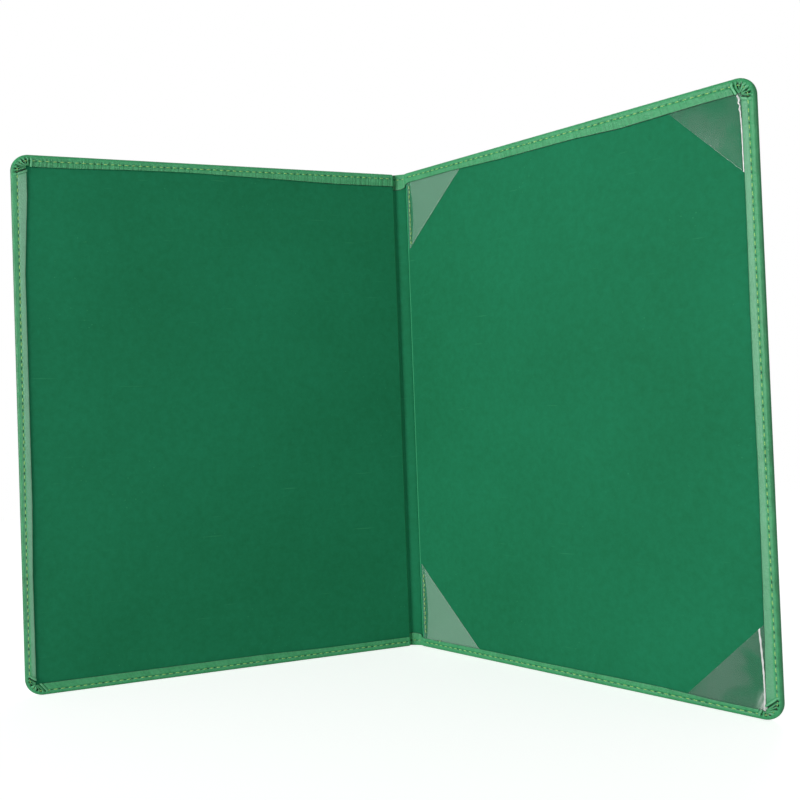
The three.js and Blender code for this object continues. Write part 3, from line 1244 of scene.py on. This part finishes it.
    def close_back(self, piece: bpy.types.Object, columns: list[Column], row_count: int) -> None:
        """Bridges the back of the spine strip from top to bottom and fills the back of the cover.

        Args:
            piece: The open ring of sheet.
            columns: The columns of the ring.
            row_count: How many rows the ring has.
        """
        count = len(columns)
        last = [(row_count - 1) * count + index for index in range(count)]
        near = sum(1 for column in columns[: count // 2] if column.edge[0] <= self.path.fold_end)
        use(piece)
        bpy.ops.object.mode_set(mode="EDIT")
        bpy.ops.mesh.select_mode(type="VERT")
        self.select_only(piece, last[:near] + last[-near:])
        bpy.ops.mesh.bridge_edge_loops()
        self.select_only(piece, last[near - 1 : count - near + 1])
        bpy.ops.mesh.edge_face_add()
        bpy.ops.object.mode_set(mode="OBJECT")

    @staticmethod
    def select_only(piece: bpy.types.Object, indices: Iterable[int]) -> None:
        """Selects just these points of a piece in edit mode, and the edges between them.

        Args:
            piece: The piece in edit mode.
            indices: The points' numbers.
        """
        bpy.ops.mesh.select_all(action="DESELECT")
        bpy.ops.object.mode_set(mode="OBJECT")
        for index in indices:
            piece.data.vertices[index].select = True
        bpy.ops.object.mode_set(mode="EDIT")


@dataclass
class LiningSheet:
    """The lining of one cover: flat on the board, over its edge, and half the spine strip."""

    side: Side
    sizes: CoverSizes
    layers: Layers
    fold: FoldFrame
    tuck_inset: float = 2.3 * MM
    ripple: float = 0.04 * MM
    step_round: float = 0.8 * MM

    def columns(self) -> list[float]:
        """Distances from the fold line at which the lining has points, dense at the fold and the step.

        Returns:
            The distances, in order.
        """
        sizes = self.sizes
        dense = [index * 0.1 * MM for index in range(-12, 36)]
        strip = [-sizes.half_spine, -0.7 * sizes.half_spine, -0.45 * sizes.half_spine]
        panel = np.linspace(4.2 * MM, sizes.width - self.tuck_inset, 56).tolist()
        return strip + dense + panel

    @property
    def start(self) -> float:
        """Where the lining starts to climb the board's edge: it bulges a little on the right."""
        return self.sizes.step - (0.5 * MM if self.side is Side.RIGHT else 0.0)

    def depth_at(self, along: np.ndarray) -> np.ndarray:
        """Depth of the lining's face, which climbs the board's edge in a round step.

        Args:
            along: Distances from the fold line.

        Returns:
            The depths.
        """
        layers = self.layers
        low, high = layers.strip_lining_front, layers.lining_front
        start = self.start
        climb = np.clip((along - (start - 0.15 * MM)) / (0.15 * MM), 0.0, 1.0)
        wall = low + (high - self.step_round - low) * climb
        over = np.clip((along - start) / self.step_round, 0.0, 1.0)
        return wall + self.step_round * climb * np.sqrt(1.0 - (1.0 - over) ** 2)

    def build(self) -> bpy.types.Object:
        """Shapes the lining as one sheet with its thickness.

        Returns:
            The finished lining.
        """
        inset = self.tuck_inset
        rows = np.linspace(inset, self.sizes.height - inset, 64)
        kept: dict[str, np.ndarray] = {}

        def shape(along: np.ndarray, up: np.ndarray) -> np.ndarray:
            """Places the lining's points, its outer corners rounded, and keeps the painted highlight on the
            board's edge at each.

            Args:
                along: Distances from the fold line.
                up: Heights.

            Returns:
                The points.
            """
            kept["stretch"] = self.stretch_at(along)
            ripple = self.ripple * (np.sin(along * 71.0 + up * 23.0) + np.sin(up * 57.0 - along * 31.0))
            depth = self.depth_at(along) + ripple * smooth(4.0 * MM, 20.0 * MM, along)
            x, z = self.round_corner(along, up)
            return self.fold.place(x, z, depth)

        piece = grid_piece(f"{self.side.word}_lining_sheet", self.columns(), rows, shape)
        store(piece, kept)
        face_outwards(piece, self.fold.middle(0.0))
        apply_modifier(piece, "SOLIDIFY", thickness=self.layers.lining, offset=-1.0, use_even_offset=False)
        shade(piece, 60.0)
        return piece

    def stretch_at(self, along: np.ndarray) -> np.ndarray:
        """Painted highlight where the lining turns over the board's rounded edge; weaker on the left side."""
        strength = 1.0 if self.side is Side.RIGHT else 0.12
        return strength * bump(along, self.start + 0.25 * MM, 0.55 * MM)

    def round_corner(self, along: np.ndarray, up: np.ndarray) -> tuple[np.ndarray, np.ndarray]:
        """Pulls points past the rounded outer corners back onto them.

        Args:
            along: Distances from the fold line.
            up: Heights.

        Returns:
            The distances and heights inside the corners.
        """
        sizes = self.sizes
        radius = sizes.corner - self.tuck_inset
        middle = sizes.height / 2
        over_x = np.maximum(0.0, along - (sizes.width - sizes.corner))
        over_z = np.maximum(0.0, np.abs(up - middle) - (middle - sizes.corner))
        far = np.hypot(over_x, over_z)
        keep = np.where((over_x > 0) & (over_z > 0) & (far > radius), radius / np.maximum(far, 1e-9), 1.0)
        x = along - over_x * (1.0 - keep)
        z = up - np.sign(up - middle) * over_z * (1.0 - keep)
        return x, z


StitchPlace = tuple[tuple[float, float], tuple[float, float], float]


@dataclass
class StitchRow:
    """A row of stitches: one stitch modelled, then copied along a path."""

    name: str
    fold: FoldFrame
    radius: float = 0.27 * MM
    share: float = 0.6
    swing: float = 0.06

    def stitch(self, length: float) -> tuple[np.ndarray, list[tuple[int, ...]]]:
        """Models one stitch along X: a round bar whose ends dip into the needle holes.

        Args:
            length: Distance between two needle holes.

        Returns:
            Its points and its faces.
        """
        deselect_all()
        bpy.ops.mesh.primitive_uv_sphere_add(segments=10, ring_count=8, radius=1.0)
        pattern = bpy.context.object
        half = length * self.share / 2
        turn = Matrix.Rotation(math.pi / 2, 4, "Y")
        pattern.data.transform(Matrix.Diagonal((half, self.radius, self.radius * 0.9, 1.0)) @ turn)
        points = np.array([vertex.co for vertex in pattern.data.vertices])
        faces = [tuple(face.vertices) for face in pattern.data.polygons]
        bpy.data.objects.remove(pattern)
        reach = np.abs(points[:, 0]) / half
        points[:, 0] = np.sign(points[:, 0]) * half * reach**0.8
        points[:, 2] -= 1.25 * self.radius * reach**3
        return points, faces

    def build(self, places: Sequence[StitchPlace], pitch: float) -> bpy.types.Object:
        """Copies the stitch to each place and joins the copies.

        Args:
            places: For each stitch its middle, its direction, both flat, and its depth.
            pitch: Distance between two needle holes.

        Returns:
            The row as one piece.
        """
        pattern, faces = self.stitch(pitch)
        all_points, all_faces = [], []
        for number, (middle, direction, depth) in enumerate(places):
            wobble = self.swing * math.sin(number * 2.3 + 0.5)
            size = math.hypot(*direction)
            forward = (direction[0] / size, direction[1] / size)
            cos, sin = math.cos(wobble), math.sin(wobble)
            forward = (forward[0] * cos - forward[1] * sin, forward[0] * sin + forward[1] * cos)
            along = middle[0] + pattern[:, 0] * forward[0] - pattern[:, 1] * forward[1]
            up = middle[1] + pattern[:, 0] * forward[1] + pattern[:, 1] * forward[0]
            start = number * len(pattern)
            all_points.append(self.fold.place(along, up, depth + pattern[:, 2]))
            all_faces += [tuple(start + index for index in face) for face in faces]
        mesh = bpy.data.meshes.new(self.name)
        mesh.from_pydata(np.concatenate(all_points).tolist(), [], all_faces)
        piece = bpy.data.objects.new(self.name, mesh)
        bpy.context.scene.collection.objects.link(piece)
        edit_whole(piece, bpy.ops.mesh.normals_make_consistent, inside=False)
        shade(piece, 180.0)
        return piece


# How strong the painted reflection on each film is, by whether the film lies beside the spine, and by its
# end.
REFLECTION_STRENGTHS = {
    (True, End.TOP): 2.0,
    (True, End.BOTTOM): 2.8,
    (False, End.TOP): 0.85,
    (False, End.BOTTOM): 1.85,
}

# How much of each film shows along the hem and up the side, by the same keys.
LEGS = {
    (True, End.TOP): (44.0 * MM, 42.0 * MM),
    (True, End.BOTTOM): (44.0 * MM, 46.0 * MM),
    (False, End.TOP): (38.0 * MM, 38.0 * MM),
    (False, End.BOTTOM): (38.0 * MM, 38.0 * MM),
}


@dataclass(frozen=True)
class Shine:
    """Painted reflection of the lamp on an outer film: a line along its roll, and glare in its corner."""

    line_width: float
    glare: float
    spread: float


SHINES = {
    End.TOP: Shine(line_width=0.28 * MM, glare=0.15, spread=3.6 * MM),
    End.BOTTOM: Shine(line_width=0.38 * MM, glare=0.5, spread=6.5 * MM),
}


@dataclass
class FilmPocket:
    """One clear film corner of the right cover."""

    name: str
    end: End
    sizes: CoverSizes
    layers: Layers
    fold: FoldFrame
    leg_along: float
    leg_up: float
    at_spine: bool
    sewn_edge: float = 3.2 * MM
    tuck: float = 4.6 * MM
    lift: float = 0.55 * MM
    steps: int = 60
    side_columns: int = 70
    edge_from: float = 0.9928
    edge_paleness: float = 0.3

    @property
    def hem_edge(self) -> tuple[float, float]:
        """Where the hem's free edges cross beside this pocket, seen as a pocket at the top.

        Returns:
            Distance from the fold line, and height.
        """
        cut = HEM_CUTS[Side.RIGHT]
        outer = cut.beside_corner(self.end, self.sizes.height)
        across = cut.width(self.end.word, self.sizes.width)
        return self.sizes.width - outer, self.sizes.height - across

    def corner(self) -> tuple[float, float]:
        """The film's right-angled corner, under the hem."""
        along = self.sewn_edge if self.at_spine else self.sizes.width - self.sizes.hem + self.tuck
        return along, self.sizes.height - self.sizes.hem + self.tuck

    def flat(self, out: np.ndarray, across: np.ndarray) -> tuple[np.ndarray, np.ndarray]:
        """Flat coordinates of film points, seen as a pocket at the top.

        Args:
            out: Share of the way from the corner to the open slanting edge.
            across: Share of the way from the side along the hem to the upright side.

        Returns:
            Distances from the fold line, and heights.
        """
        corner = self.corner()
        hidden = self.tuck if self.at_spine else 2 * self.tuck
        sign = 1.0 if self.at_spine else -1.0
        along = corner[0] + sign * out * (1.0 - across) * (self.leg_along + hidden)
        return along, corner[1] - out * across * (self.leg_up + hidden)

    def fold_line(self, up: np.ndarray) -> np.ndarray:
        """How far the film's sharp roll lies from the hem's upright free edge, at each height.

        The roll of the upper pocket leaves the hem at the corner, and that of the lower one at the open edge.

        Args:
            up: Heights, seen as a pocket at the top.

        Returns:
            The distances from the hem's free edge.
        """
        share = np.clip((self.hem_edge[1] - up) / self.leg_up, 0.0, 1.0)
        if self.end is End.TOP:
            crumple = 0.35 * MM * np.sin(share * 70.0) * (1.0 - smooth(0.1, 0.35, share))
            return 0.25 * MM + 1.5 * MM * (1.0 - share) ** 4 + crumple
        return 0.35 * MM + 1.5 * MM * share**2 + 0.9 * MM * (1.0 - share) ** 8

    def rise(self, along: np.ndarray, up: np.ndarray, out: np.ndarray) -> np.ndarray:
        """How far the film stands off the lining: a roll beside the hem and a bulge at the open edge.

        Args:
            along: Distances from the fold line.
            up: Heights, seen as a pocket at the top.
            out: Share of the way from the corner to the open edge.

        Returns:
            The heights above the lining.
        """
        from_side = self.hem_edge[0] - along
        from_hem = self.hem_edge[1] - up
        clear_hem = smooth(0.3 * MM, 3.0 * MM, from_hem)
        if self.at_spine:
            beside = smooth(2.0 * MM, 9.0 * MM, along - self.sewn_edge)
            return 0.35 * self.lift * beside * clear_hem
        roll = 0.7 * bump(from_side, self.fold_line(up), 0.7 * MM) * smooth(-1.5 * MM, 2.0 * MM, from_hem)
        side = smooth(0.3 * MM, 2.4 * MM, from_side)
        bulge = 0.5 * smooth(0.15, 1.0, out) * side * clear_hem
        return self.lift * (roll + bulge)

    def build(self) -> bpy.types.Object:
        """Shapes the film, stores where it looks milky, and gives it its thickness.

        Returns:
            The finished film pocket.
        """
        outs = np.linspace(0.0, 1.0, self.steps + 1)
        # Two close columns make the painted highlight on the open edge start sharply, at edge_from.
        outs = np.append(outs[:-1], [0.9925, 0.993, 1.0])
        far_side = np.linspace(0.0, 0.75, self.steps // 2)
        near_side = np.linspace(0.75, 1.0, self.side_columns)
        acrosses = np.unique(np.concatenate([far_side, near_side]))
        kept: dict[str, np.ndarray] = {}

        def shape(out: np.ndarray, across: np.ndarray) -> np.ndarray:
            """Places the points and keeps how each looks.

            Args:
                out: Share of the way from the corner to the open edge.
                across: Share of the way between the two sides.

            Returns:
                The points.
            """
            along, up = self.flat(out, across)
            kept.update(self.looks(along, up, out))
            depth = self.layers.film_back + self.layers.film + self.rise(along, up, out)
            if self.end is End.BOTTOM:
                up = self.sizes.height - up
            return self.fold.place(along, up, depth)

        piece = grid_piece(self.name, outs, acrosses, shape)
        store(piece, kept)
        edit_whole(piece, bpy.ops.mesh.remove_doubles, threshold=0.002 * MM)
        face_outwards(piece, self.fold.middle(0.0))
        apply_modifier(piece, "SOLIDIFY", thickness=self.layers.film, offset=-1.0, use_even_offset=False)
        shade(piece, 60.0)
        return piece

    def looks(self, along: np.ndarray, up: np.ndarray, out: np.ndarray) -> dict[str, np.ndarray]:
        """How the film looks at each point: its painted reflection, its painted highlights, and how whitish
        or grey that reflection is.

        Args:
            along: Distances from the fold line.
            up: Heights, seen as a pocket at the top.
            out: Share of the way from the corner to the open edge.

        Returns:
            The values by name.
        """
        open_edge = out > self.edge_from
        share = np.clip((self.hem_edge[1] - up) / self.leg_up, 0.0, 1.0)
        found = self.sewn_looks(along, share) if self.at_spine else self.outer_looks(along, up, share)
        # Painted highlight along the open slanting edge.
        found["rim"] = np.maximum(found["rim"], self.edge_paleness * open_edge)
        found["veil"] = REFLECTION_STRENGTHS[self.at_spine, self.end] * found["veil"]
        return found

    def sewn_looks(self, along: np.ndarray, share: np.ndarray) -> dict[str, np.ndarray]:
        """How a film beside the spine looks: a painted highlight where it is sewn, no painted reflection
        beside that, then a whitish painted reflection.

        Args:
            along: Distances from the fold line.
            share: Share of the way from the hem to the film's end along its upright side.

        Returns:
            The values by name.
        """
        beside = along - self.sewn_edge
        sewn = 0.13 * (1.0 - smooth(1.1 * MM, 1.5 * MM, beside))
        clear = 2.4 * MM + 1.7 * MM * np.sin(math.pi * np.clip(share * 1.1, 0.0, 1.0))
        veil = 0.02 + 0.1 * smooth(clear - 0.5 * MM, clear + 0.5 * MM, beside)
        return {"rim": sewn, "veil": veil, "milk": 1.0 + 0.0 * along}

    def outer_looks(self, along: np.ndarray, up: np.ndarray, share: np.ndarray) -> dict[str, np.ndarray]:
        """How an outer film looks: a painted white highlight along its roll, streaked painted glare in the
        corner, and a grey painted reflection.

        Args:
            along: Distances from the fold line.
            up: Heights, seen as a pocket at the top.
            share: Share of the way from the hem to the film's end along its upright side.

        Returns:
            The values by name.
        """
        shine = SHINES[self.end]
        from_side = self.hem_edge[0] - along
        from_hem = self.hem_edge[1] - up
        width = shine.line_width * (1.0 + 0.5 * np.sin(share * 23.0) ** 2)
        line = bump(from_side, self.fold_line(up), width) * smooth(-1.0 * MM, 0.5 * MM, from_hem)
        corner = bump(np.hypot(1.3 * from_side, 0.7 * (from_hem - 0.8 * MM)), 0.0, shine.spread)
        streaks = 0.75 + 0.25 * np.sin(from_side * 2600.0 + from_hem * 1300.0)
        rim = np.maximum(0.95 * line, shine.glare * corner * streaks)
        veil = 0.16 - 0.06 * smooth(0.45, 0.9, 1.0 - from_side / self.leg_along)
        return {"rim": rim, "veil": veil, "milk": smooth(0.2, 0.6, np.maximum(line, corner))}


@dataclass
class Cover:
    """One cover: its sheet, lining, stitches and, on the right, the film pockets."""

    side: Side
    sizes: CoverSizes
    layers: Layers
    fold: FoldFrame
    finishes: dict[str, bpy.types.Material]

    @property
    def body(self) -> str:
        """The body that this cover's rigid pieces ride on."""
        return f"{self.side.word}_cover_body"

    def bend_to_spine(self, piece: bpy.types.Object) -> None:
        """Bakes a sheet's placement into its points; the ends of its bend to the spine are worked out but not
        used.
        """
        start, end = self.fold.blend_ends()
        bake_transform(piece)

    def build_sheet(self, path: HemPath) -> bpy.types.Object:
        """Builds and dresses the leatherette sheet.

        Args:
            path: The course of the hem.

        Returns:
            The dressed sheet.
        """
        piece = WrappedSheet(self.side, self.sizes, self.layers, self.fold, path).build()
        set_material(piece, self.finishes["leatherette"])
        nodes = [f"{self.side.word}_cover"] + (["spine_cover"] if self.side is Side.RIGHT else [])
        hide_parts(*nodes)
        self.bend_to_spine(piece)
        return piece

    def build_lining(self) -> bpy.types.Object:
        """Builds and dresses the lining.

        Returns:
            The dressed lining.
        """
        piece = LiningSheet(self.side, self.sizes, self.layers, self.fold).build()
        set_material(piece, self.finishes["lining"])
        nodes = [f"{self.side.word}_lining"] + (["spine_lining"] if self.side is Side.RIGHT else [])
        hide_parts(*nodes)
        self.bend_to_spine(piece)
        return piece

    def build_stitches(self, path: HemPath) -> bpy.types.Object:
        """Builds and dresses the hem's row of stitches.

        Args:
            path: The course of the hem.

        Returns:
            The dressed row.
        """
        places = []
        for number in range(path.stitches):
            here = path.at((number + 0.5) * path.pitch)
            before = path.at((number + 0.4) * path.pitch)
            after = path.at((number + 0.6) * path.pitch)
            on_strip = here.seam[0] < self.sizes.step + 1.0 * MM
            if on_strip:
                continue
            direction = (after.seam[0] - before.seam[0], after.seam[1] - before.seam[1])
            places.append((here.seam, direction, here.thickness))
        if self.side is Side.RIGHT:
            # The thread's loose end, which slants off the bottom hem beside the spine.
            places.append(((17.0 * MM, 5.4 * MM), (0.45, 1.0), self.layers.total))
        piece = StitchRow(f"{self.side.word}_hem_stitches", self.fold).build(places, path.pitch)
        self.dress_thread(piece, f"{self.side.word}_seam_thread")
        return piece

    def dress_thread(self, piece: bpy.types.Object, node: str) -> None:
        """Dresses a row of stitches and lets it stand for the cover's thread node.

        Args:
            piece: The row of stitches.
            node: The thread node that it stands for.
        """
        set_material(piece, self.finishes["thread"])
        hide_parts(node)
        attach(piece, self.body)

    def build_pocket(self, end: End, at_spine: bool) -> bpy.types.Object:
        """Builds and dresses one film pocket.

        Args:
            end: Top or bottom.
            at_spine: Whether it lies beside the spine.

        Returns:
            The dressed film.
        """
        place = "spine" if at_spine else "outer"
        leg_along, leg_up = LEGS[at_spine, end]
        pocket = FilmPocket(
            name=f"{end.word}_{place}_film",
            end=end,
            sizes=self.sizes,
            layers=self.layers,
            fold=self.fold,
            leg_along=leg_along,
            leg_up=leg_up,
            at_spine=at_spine,
        )
        piece = pocket.build()
        set_material(piece, self.finishes["film"])
        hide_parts(f"film_{place}_{end.word}")
        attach(piece, self.body)
        return piece

    def build_pocket_stitches(self, end: End) -> bpy.types.Object:
        """Builds and dresses the short row of stitches on a film pocket beside the spine.

        Args:
            end: Top or bottom.

        Returns:
            The dressed row.
        """
        pitch, stitches = 3.0 * MM, 13
        along = FilmPocket.sewn_edge + 1.6 * MM
        depth = self.layers.film_back + self.layers.film + 0.2 * MM
        top = self.sizes.height - self.sizes.hem - 0.8 * MM
        places = []
        for number in range(stitches):
            up = top - (number + 0.5) * pitch
            up = up if end is End.TOP else self.sizes.height - up
            shift = 0.22 * MM * math.sin(number * 2.1)
            places.append(((along + shift, up), (0.0, 1.0), depth))
        row = StitchRow(f"{end.word}_pocket_stitches", self.fold, radius=0.33 * MM, share=0.8, swing=0.3)
        piece = row.build(places, pitch)
        self.dress_thread(piece, f"pocket_thread_{end.word}")
        return piece


@dataclass
class SpineStitches:
    """The two stitches that cross the spine strip at each end."""

    sizes: CoverSizes
    layers: Layers
    fold: FoldFrame
    material: bpy.types.Material

    def build(self, end: End) -> bpy.types.Object:
        """Builds and dresses one short row.

        Args:
            end: Top or bottom.

        Returns:
            The dressed row.
        """
        pitch = 3.4 * MM
        up = self.sizes.height - self.sizes.seam - 0.3 * MM
        up = up if end is End.TOP else self.sizes.height - up
        depth = self.layers.strip_total
        middle = -self.sizes.half_spine
        places = [((middle + sign * pitch / 2, up), (1.0, 0.0), depth) for sign in (-1.0, 1.0)]
        flat = replace(self.fold, lean=0.0, foot=0.0)
        piece = StitchRow(f"{end.word}_spine_stitches", flat).build(places, pitch)
        set_material(piece, self.material)
        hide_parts(f"spine_thread_{end.word}")
        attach(piece, "spine")
        return piece


@dataclass(frozen=True)
class Studio:
    """The floor, the lights and the camera, in metres in the shared frame.

    The camera stands where a fit to the outlines and creases in the photo puts it.
    """

    focal_pixels: float = 905.9
    picture: float = 800.0
    sensor: float = 36.0
    camera_at: tuple[float, float, float] = (0.12136, -0.52157, 0.15727)
    turn: float = math.radians(-12.267)
    tilt: float = math.radians(0.402)
    roll: float = math.radians(-2.152)
    lit_point: tuple[float, float, float] = (0.0, 0.0, 0.16)
    floor_tone: float = 0.8
    floor_glow: float = 0.66
    white_from: float = 0.45
    white_at: float = 1.1

    def build(self) -> None:
        """Makes the whole studio."""
        self.build_camera()
        self.build_world()
        self.build_floor()
        self.build_light("key", (-1.3, -1.5, 0.35), size=1.0, power=28.0)
        self.build_light("fill", (1.0, -1.5, 0.2), size=1.2, power=9.5)
        self.build_light("back", (0.2, 1.5, 1.2), size=1.2, power=12.0)

    def build_camera(self) -> None:
        """Adds the camera at the photograph's place and angle."""
        data = bpy.data.cameras.new("camera")
        data.sensor_width = self.sensor
        data.lens = self.sensor * self.focal_pixels / self.picture
        data.clip_start, data.clip_end = 0.01, 50.0
        camera = bpy.data.objects.new("camera", data)
        bpy.context.scene.collection.objects.link(camera)
        ahead = Vector((
            math.sin(self.turn) * math.cos(self.tilt),
            math.cos(self.turn) * math.cos(self.tilt),
            math.sin(self.tilt),
        ))
        level = Vector((math.cos(self.turn), -math.sin(self.turn), 0.0))
        upward = level.cross(ahead)
        right = level * math.cos(self.roll) + upward * math.sin(self.roll)
        top = right.cross(ahead)
        camera.matrix_world = Matrix((
            (right.x, top.x, -ahead.x, self.camera_at[0]),
            (right.y, top.y, -ahead.y, self.camera_at[1]),
            (right.z, top.z, -ahead.z, self.camera_at[2]),
            (0.0, 0.0, 0.0, 1.0),
        ))
        bpy.context.scene.camera = camera

    @staticmethod
    def build_world() -> None:
        """Makes a white background for the camera and for transmission rays, and a plain soft light for the
        rest.
        """
        world = bpy.data.worlds.new("studio")
        bpy.context.scene.world = world
        world.use_nodes = True
        world.node_tree.nodes.clear()
        nodes = Nodes(world.node_tree)
        path = nodes.add("ShaderNodeLightPath")
        seen = nodes.math("MAXIMUM", path.outputs["Is Camera Ray"], path.outputs["Is Transmission Ray"])
        soft = nodes.add("ShaderNodeBackground", Color=(1.0, 1.0, 1.0, 1.0), Strength=0.3)
        white = nodes.add("ShaderNodeBackground", Color=(1.0, 1.0, 1.0, 1.0), Strength=1.0)
        both = nodes.add("ShaderNodeMixShader")
        nodes.feed(both.inputs[0], seen)
        nodes.feed(both.inputs[1], soft.outputs[0])
        nodes.feed(both.inputs[2], white.outputs[0])
        nodes.add("ShaderNodeOutputWorld", Surface=both.outputs[0])

    def build_floor(self) -> None:
        """Adds the pale floor, which keeps the object's shadow and fades to white far from it."""
        deselect_all()
        bpy.ops.mesh.primitive_plane_add(size=40.0, location=(0.0, 0.0, 0.0))
        floor = name_piece(bpy.context.object, "floor")
        material = bpy.data.materials.new("pale_floor")
        material.use_nodes = True
        material.node_tree.nodes.clear()
        nodes = Nodes(material.node_tree)
        diffuse = nodes.add("ShaderNodeBsdfDiffuse", Color=(self.floor_tone,) * 3 + (1.0,))
        seen = nodes.add("ShaderNodeLightPath").outputs["Is Camera Ray"]
        glow = nodes.add("ShaderNodeEmission", Color=(1.0, 1.0, 1.0, 1.0))
        nodes.feed(glow.inputs["Strength"], nodes.math("MULTIPLY", seen, self.floor_glow))
        lit = nodes.add("ShaderNodeAddShader")
        nodes.feed(lit.inputs[0], diffuse.outputs[0])
        nodes.feed(lit.inputs[1], glow.outputs[0])
        white = nodes.add("ShaderNodeEmission", Color=(1.0, 1.0, 1.0, 1.0))
        place = nodes.add("ShaderNodeNewGeometry").outputs["Position"]
        distance = nodes.add("ShaderNodeVectorMath", operation="LENGTH")
        nodes.feed(distance.inputs[0], place)
        fading = nodes.ramp(distance.outputs["Value"], self.white_from, self.white_at)
        far = nodes.math("MULTIPLY", fading, seen)
        both = nodes.add("ShaderNodeMixShader")
        nodes.feed(both.inputs[0], far)
        nodes.feed(both.inputs[1], lit.outputs[0])
        nodes.feed(both.inputs[2], white.outputs[0])
        nodes.add("ShaderNodeOutputMaterial", Surface=both.outputs[0])
        set_material(floor, material)

    def build_light(self, name: str, place: tuple[float, float, float], size: float, power: float) -> None:
        """Adds one soft square lamp that looks at the object.

        Args:
            name: The lamp's name.
            place: Where it hangs.
            size: Its side.
            power: Its power in watts.
        """
        data = bpy.data.lights.new(name, "AREA")
        data.size = size
        data.energy = power
        lamp = bpy.data.objects.new(name, data)
        bpy.context.scene.collection.objects.link(lamp)
        lamp.location = place
        lamp.rotation_euler = (Vector(self.lit_point) - Vector(place)).to_track_quat("-Z", "Y").to_euler()


def fold_joint(side: Side) -> tuple[Vector, float]:
    """Reads a cover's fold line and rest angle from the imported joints.

    Args:
        side: Which cover.

    Returns:
        The foot of the fold line, and the angle by which the cover leans back from flat.
    """
    joint = next(item for item in frame["joints"] if item["name"] == f"{side.word}_fold")
    return Vector(joint["pos_m"]), math.radians(-joint["range_deg"][0])


def fold_frame(side: Side, sizes: CoverSizes, layers: Layers) -> FoldFrame:
    """Makes a cover's frame on its packed fold; the covers are a little wider at the foot.

    Args:
        side: Which cover.
        sizes: The cover's sizes.
        layers: Its sheets.

    Returns:
        The cover's frame.
    """
    fold, lean = fold_joint(side)
    return FoldFrame(
        side=side,
        fold=fold,
        lean=lean,
        hinge_depth=layers.skin,
        bend=sizes.bend,
        width=sizes.width,
        height=sizes.height,
        foot=1.6 * MM if side is Side.LEFT else 1.36 * MM,
    )


def cover_sizes(layers: Layers) -> CoverSizes:
    """Reads the cover's height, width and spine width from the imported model.

    Args:
        layers: The cover's sheets.

    Returns:
        The cover's sizes, in metres.
    """
    low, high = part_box("right_cover")
    fold, lean = fold_joint(Side.RIGHT)
    front = layers.total - layers.skin
    width = (fold.y - low.y - front * math.cos(lean)) / math.sin(lean)
    LOG.info("cover %.1f by %.1f mm", width / MM, (high.z - low.z) / MM)
    return CoverSizes(height=high.z - low.z, width=round(width, 3), half_spine=fold.x)


def main() -> None:
    """Builds the studio and the cover's pieces in order, and reports each."""
    logging.basicConfig(level=logging.INFO, format="%(message)s")
    bpy.context.scene.view_settings.view_transform = "Standard"
    Studio().build()
    layers = Layers()
    sizes = cover_sizes(layers)
    finishes = Finishes()
    materials = {
        "leatherette": finishes.leatherette(),
        "lining": finishes.lining(),
        "thread": finishes.thread(),
        "film": finishes.film(),
        "board": finishes.board(),
    }
    for side in Side:
        path = HemPath(side, sizes, layers)
        cover = Cover(side, sizes, layers, fold_frame(side, sizes, layers), materials)
        made = [cover.build_sheet(path), cover.build_lining(), cover.build_stitches(path)]
        if side is Side.RIGHT:
            made += [cover.build_pocket(end, at_spine) for end in End for at_spine in (True, False)]
            made += [cover.build_pocket_stitches(end) for end in End]
            stitches = SpineStitches(sizes, layers, cover.fold, materials["thread"])
            made += [stitches.build(end) for end in End]
        set_material(frame["nodes"][f"{side.word}_board"], materials["board"])
        for piece in made:
            LOG.info("%s: %d faces", piece.name, len(piece.data.polygons))


if __name__ == "__main__":
    main()
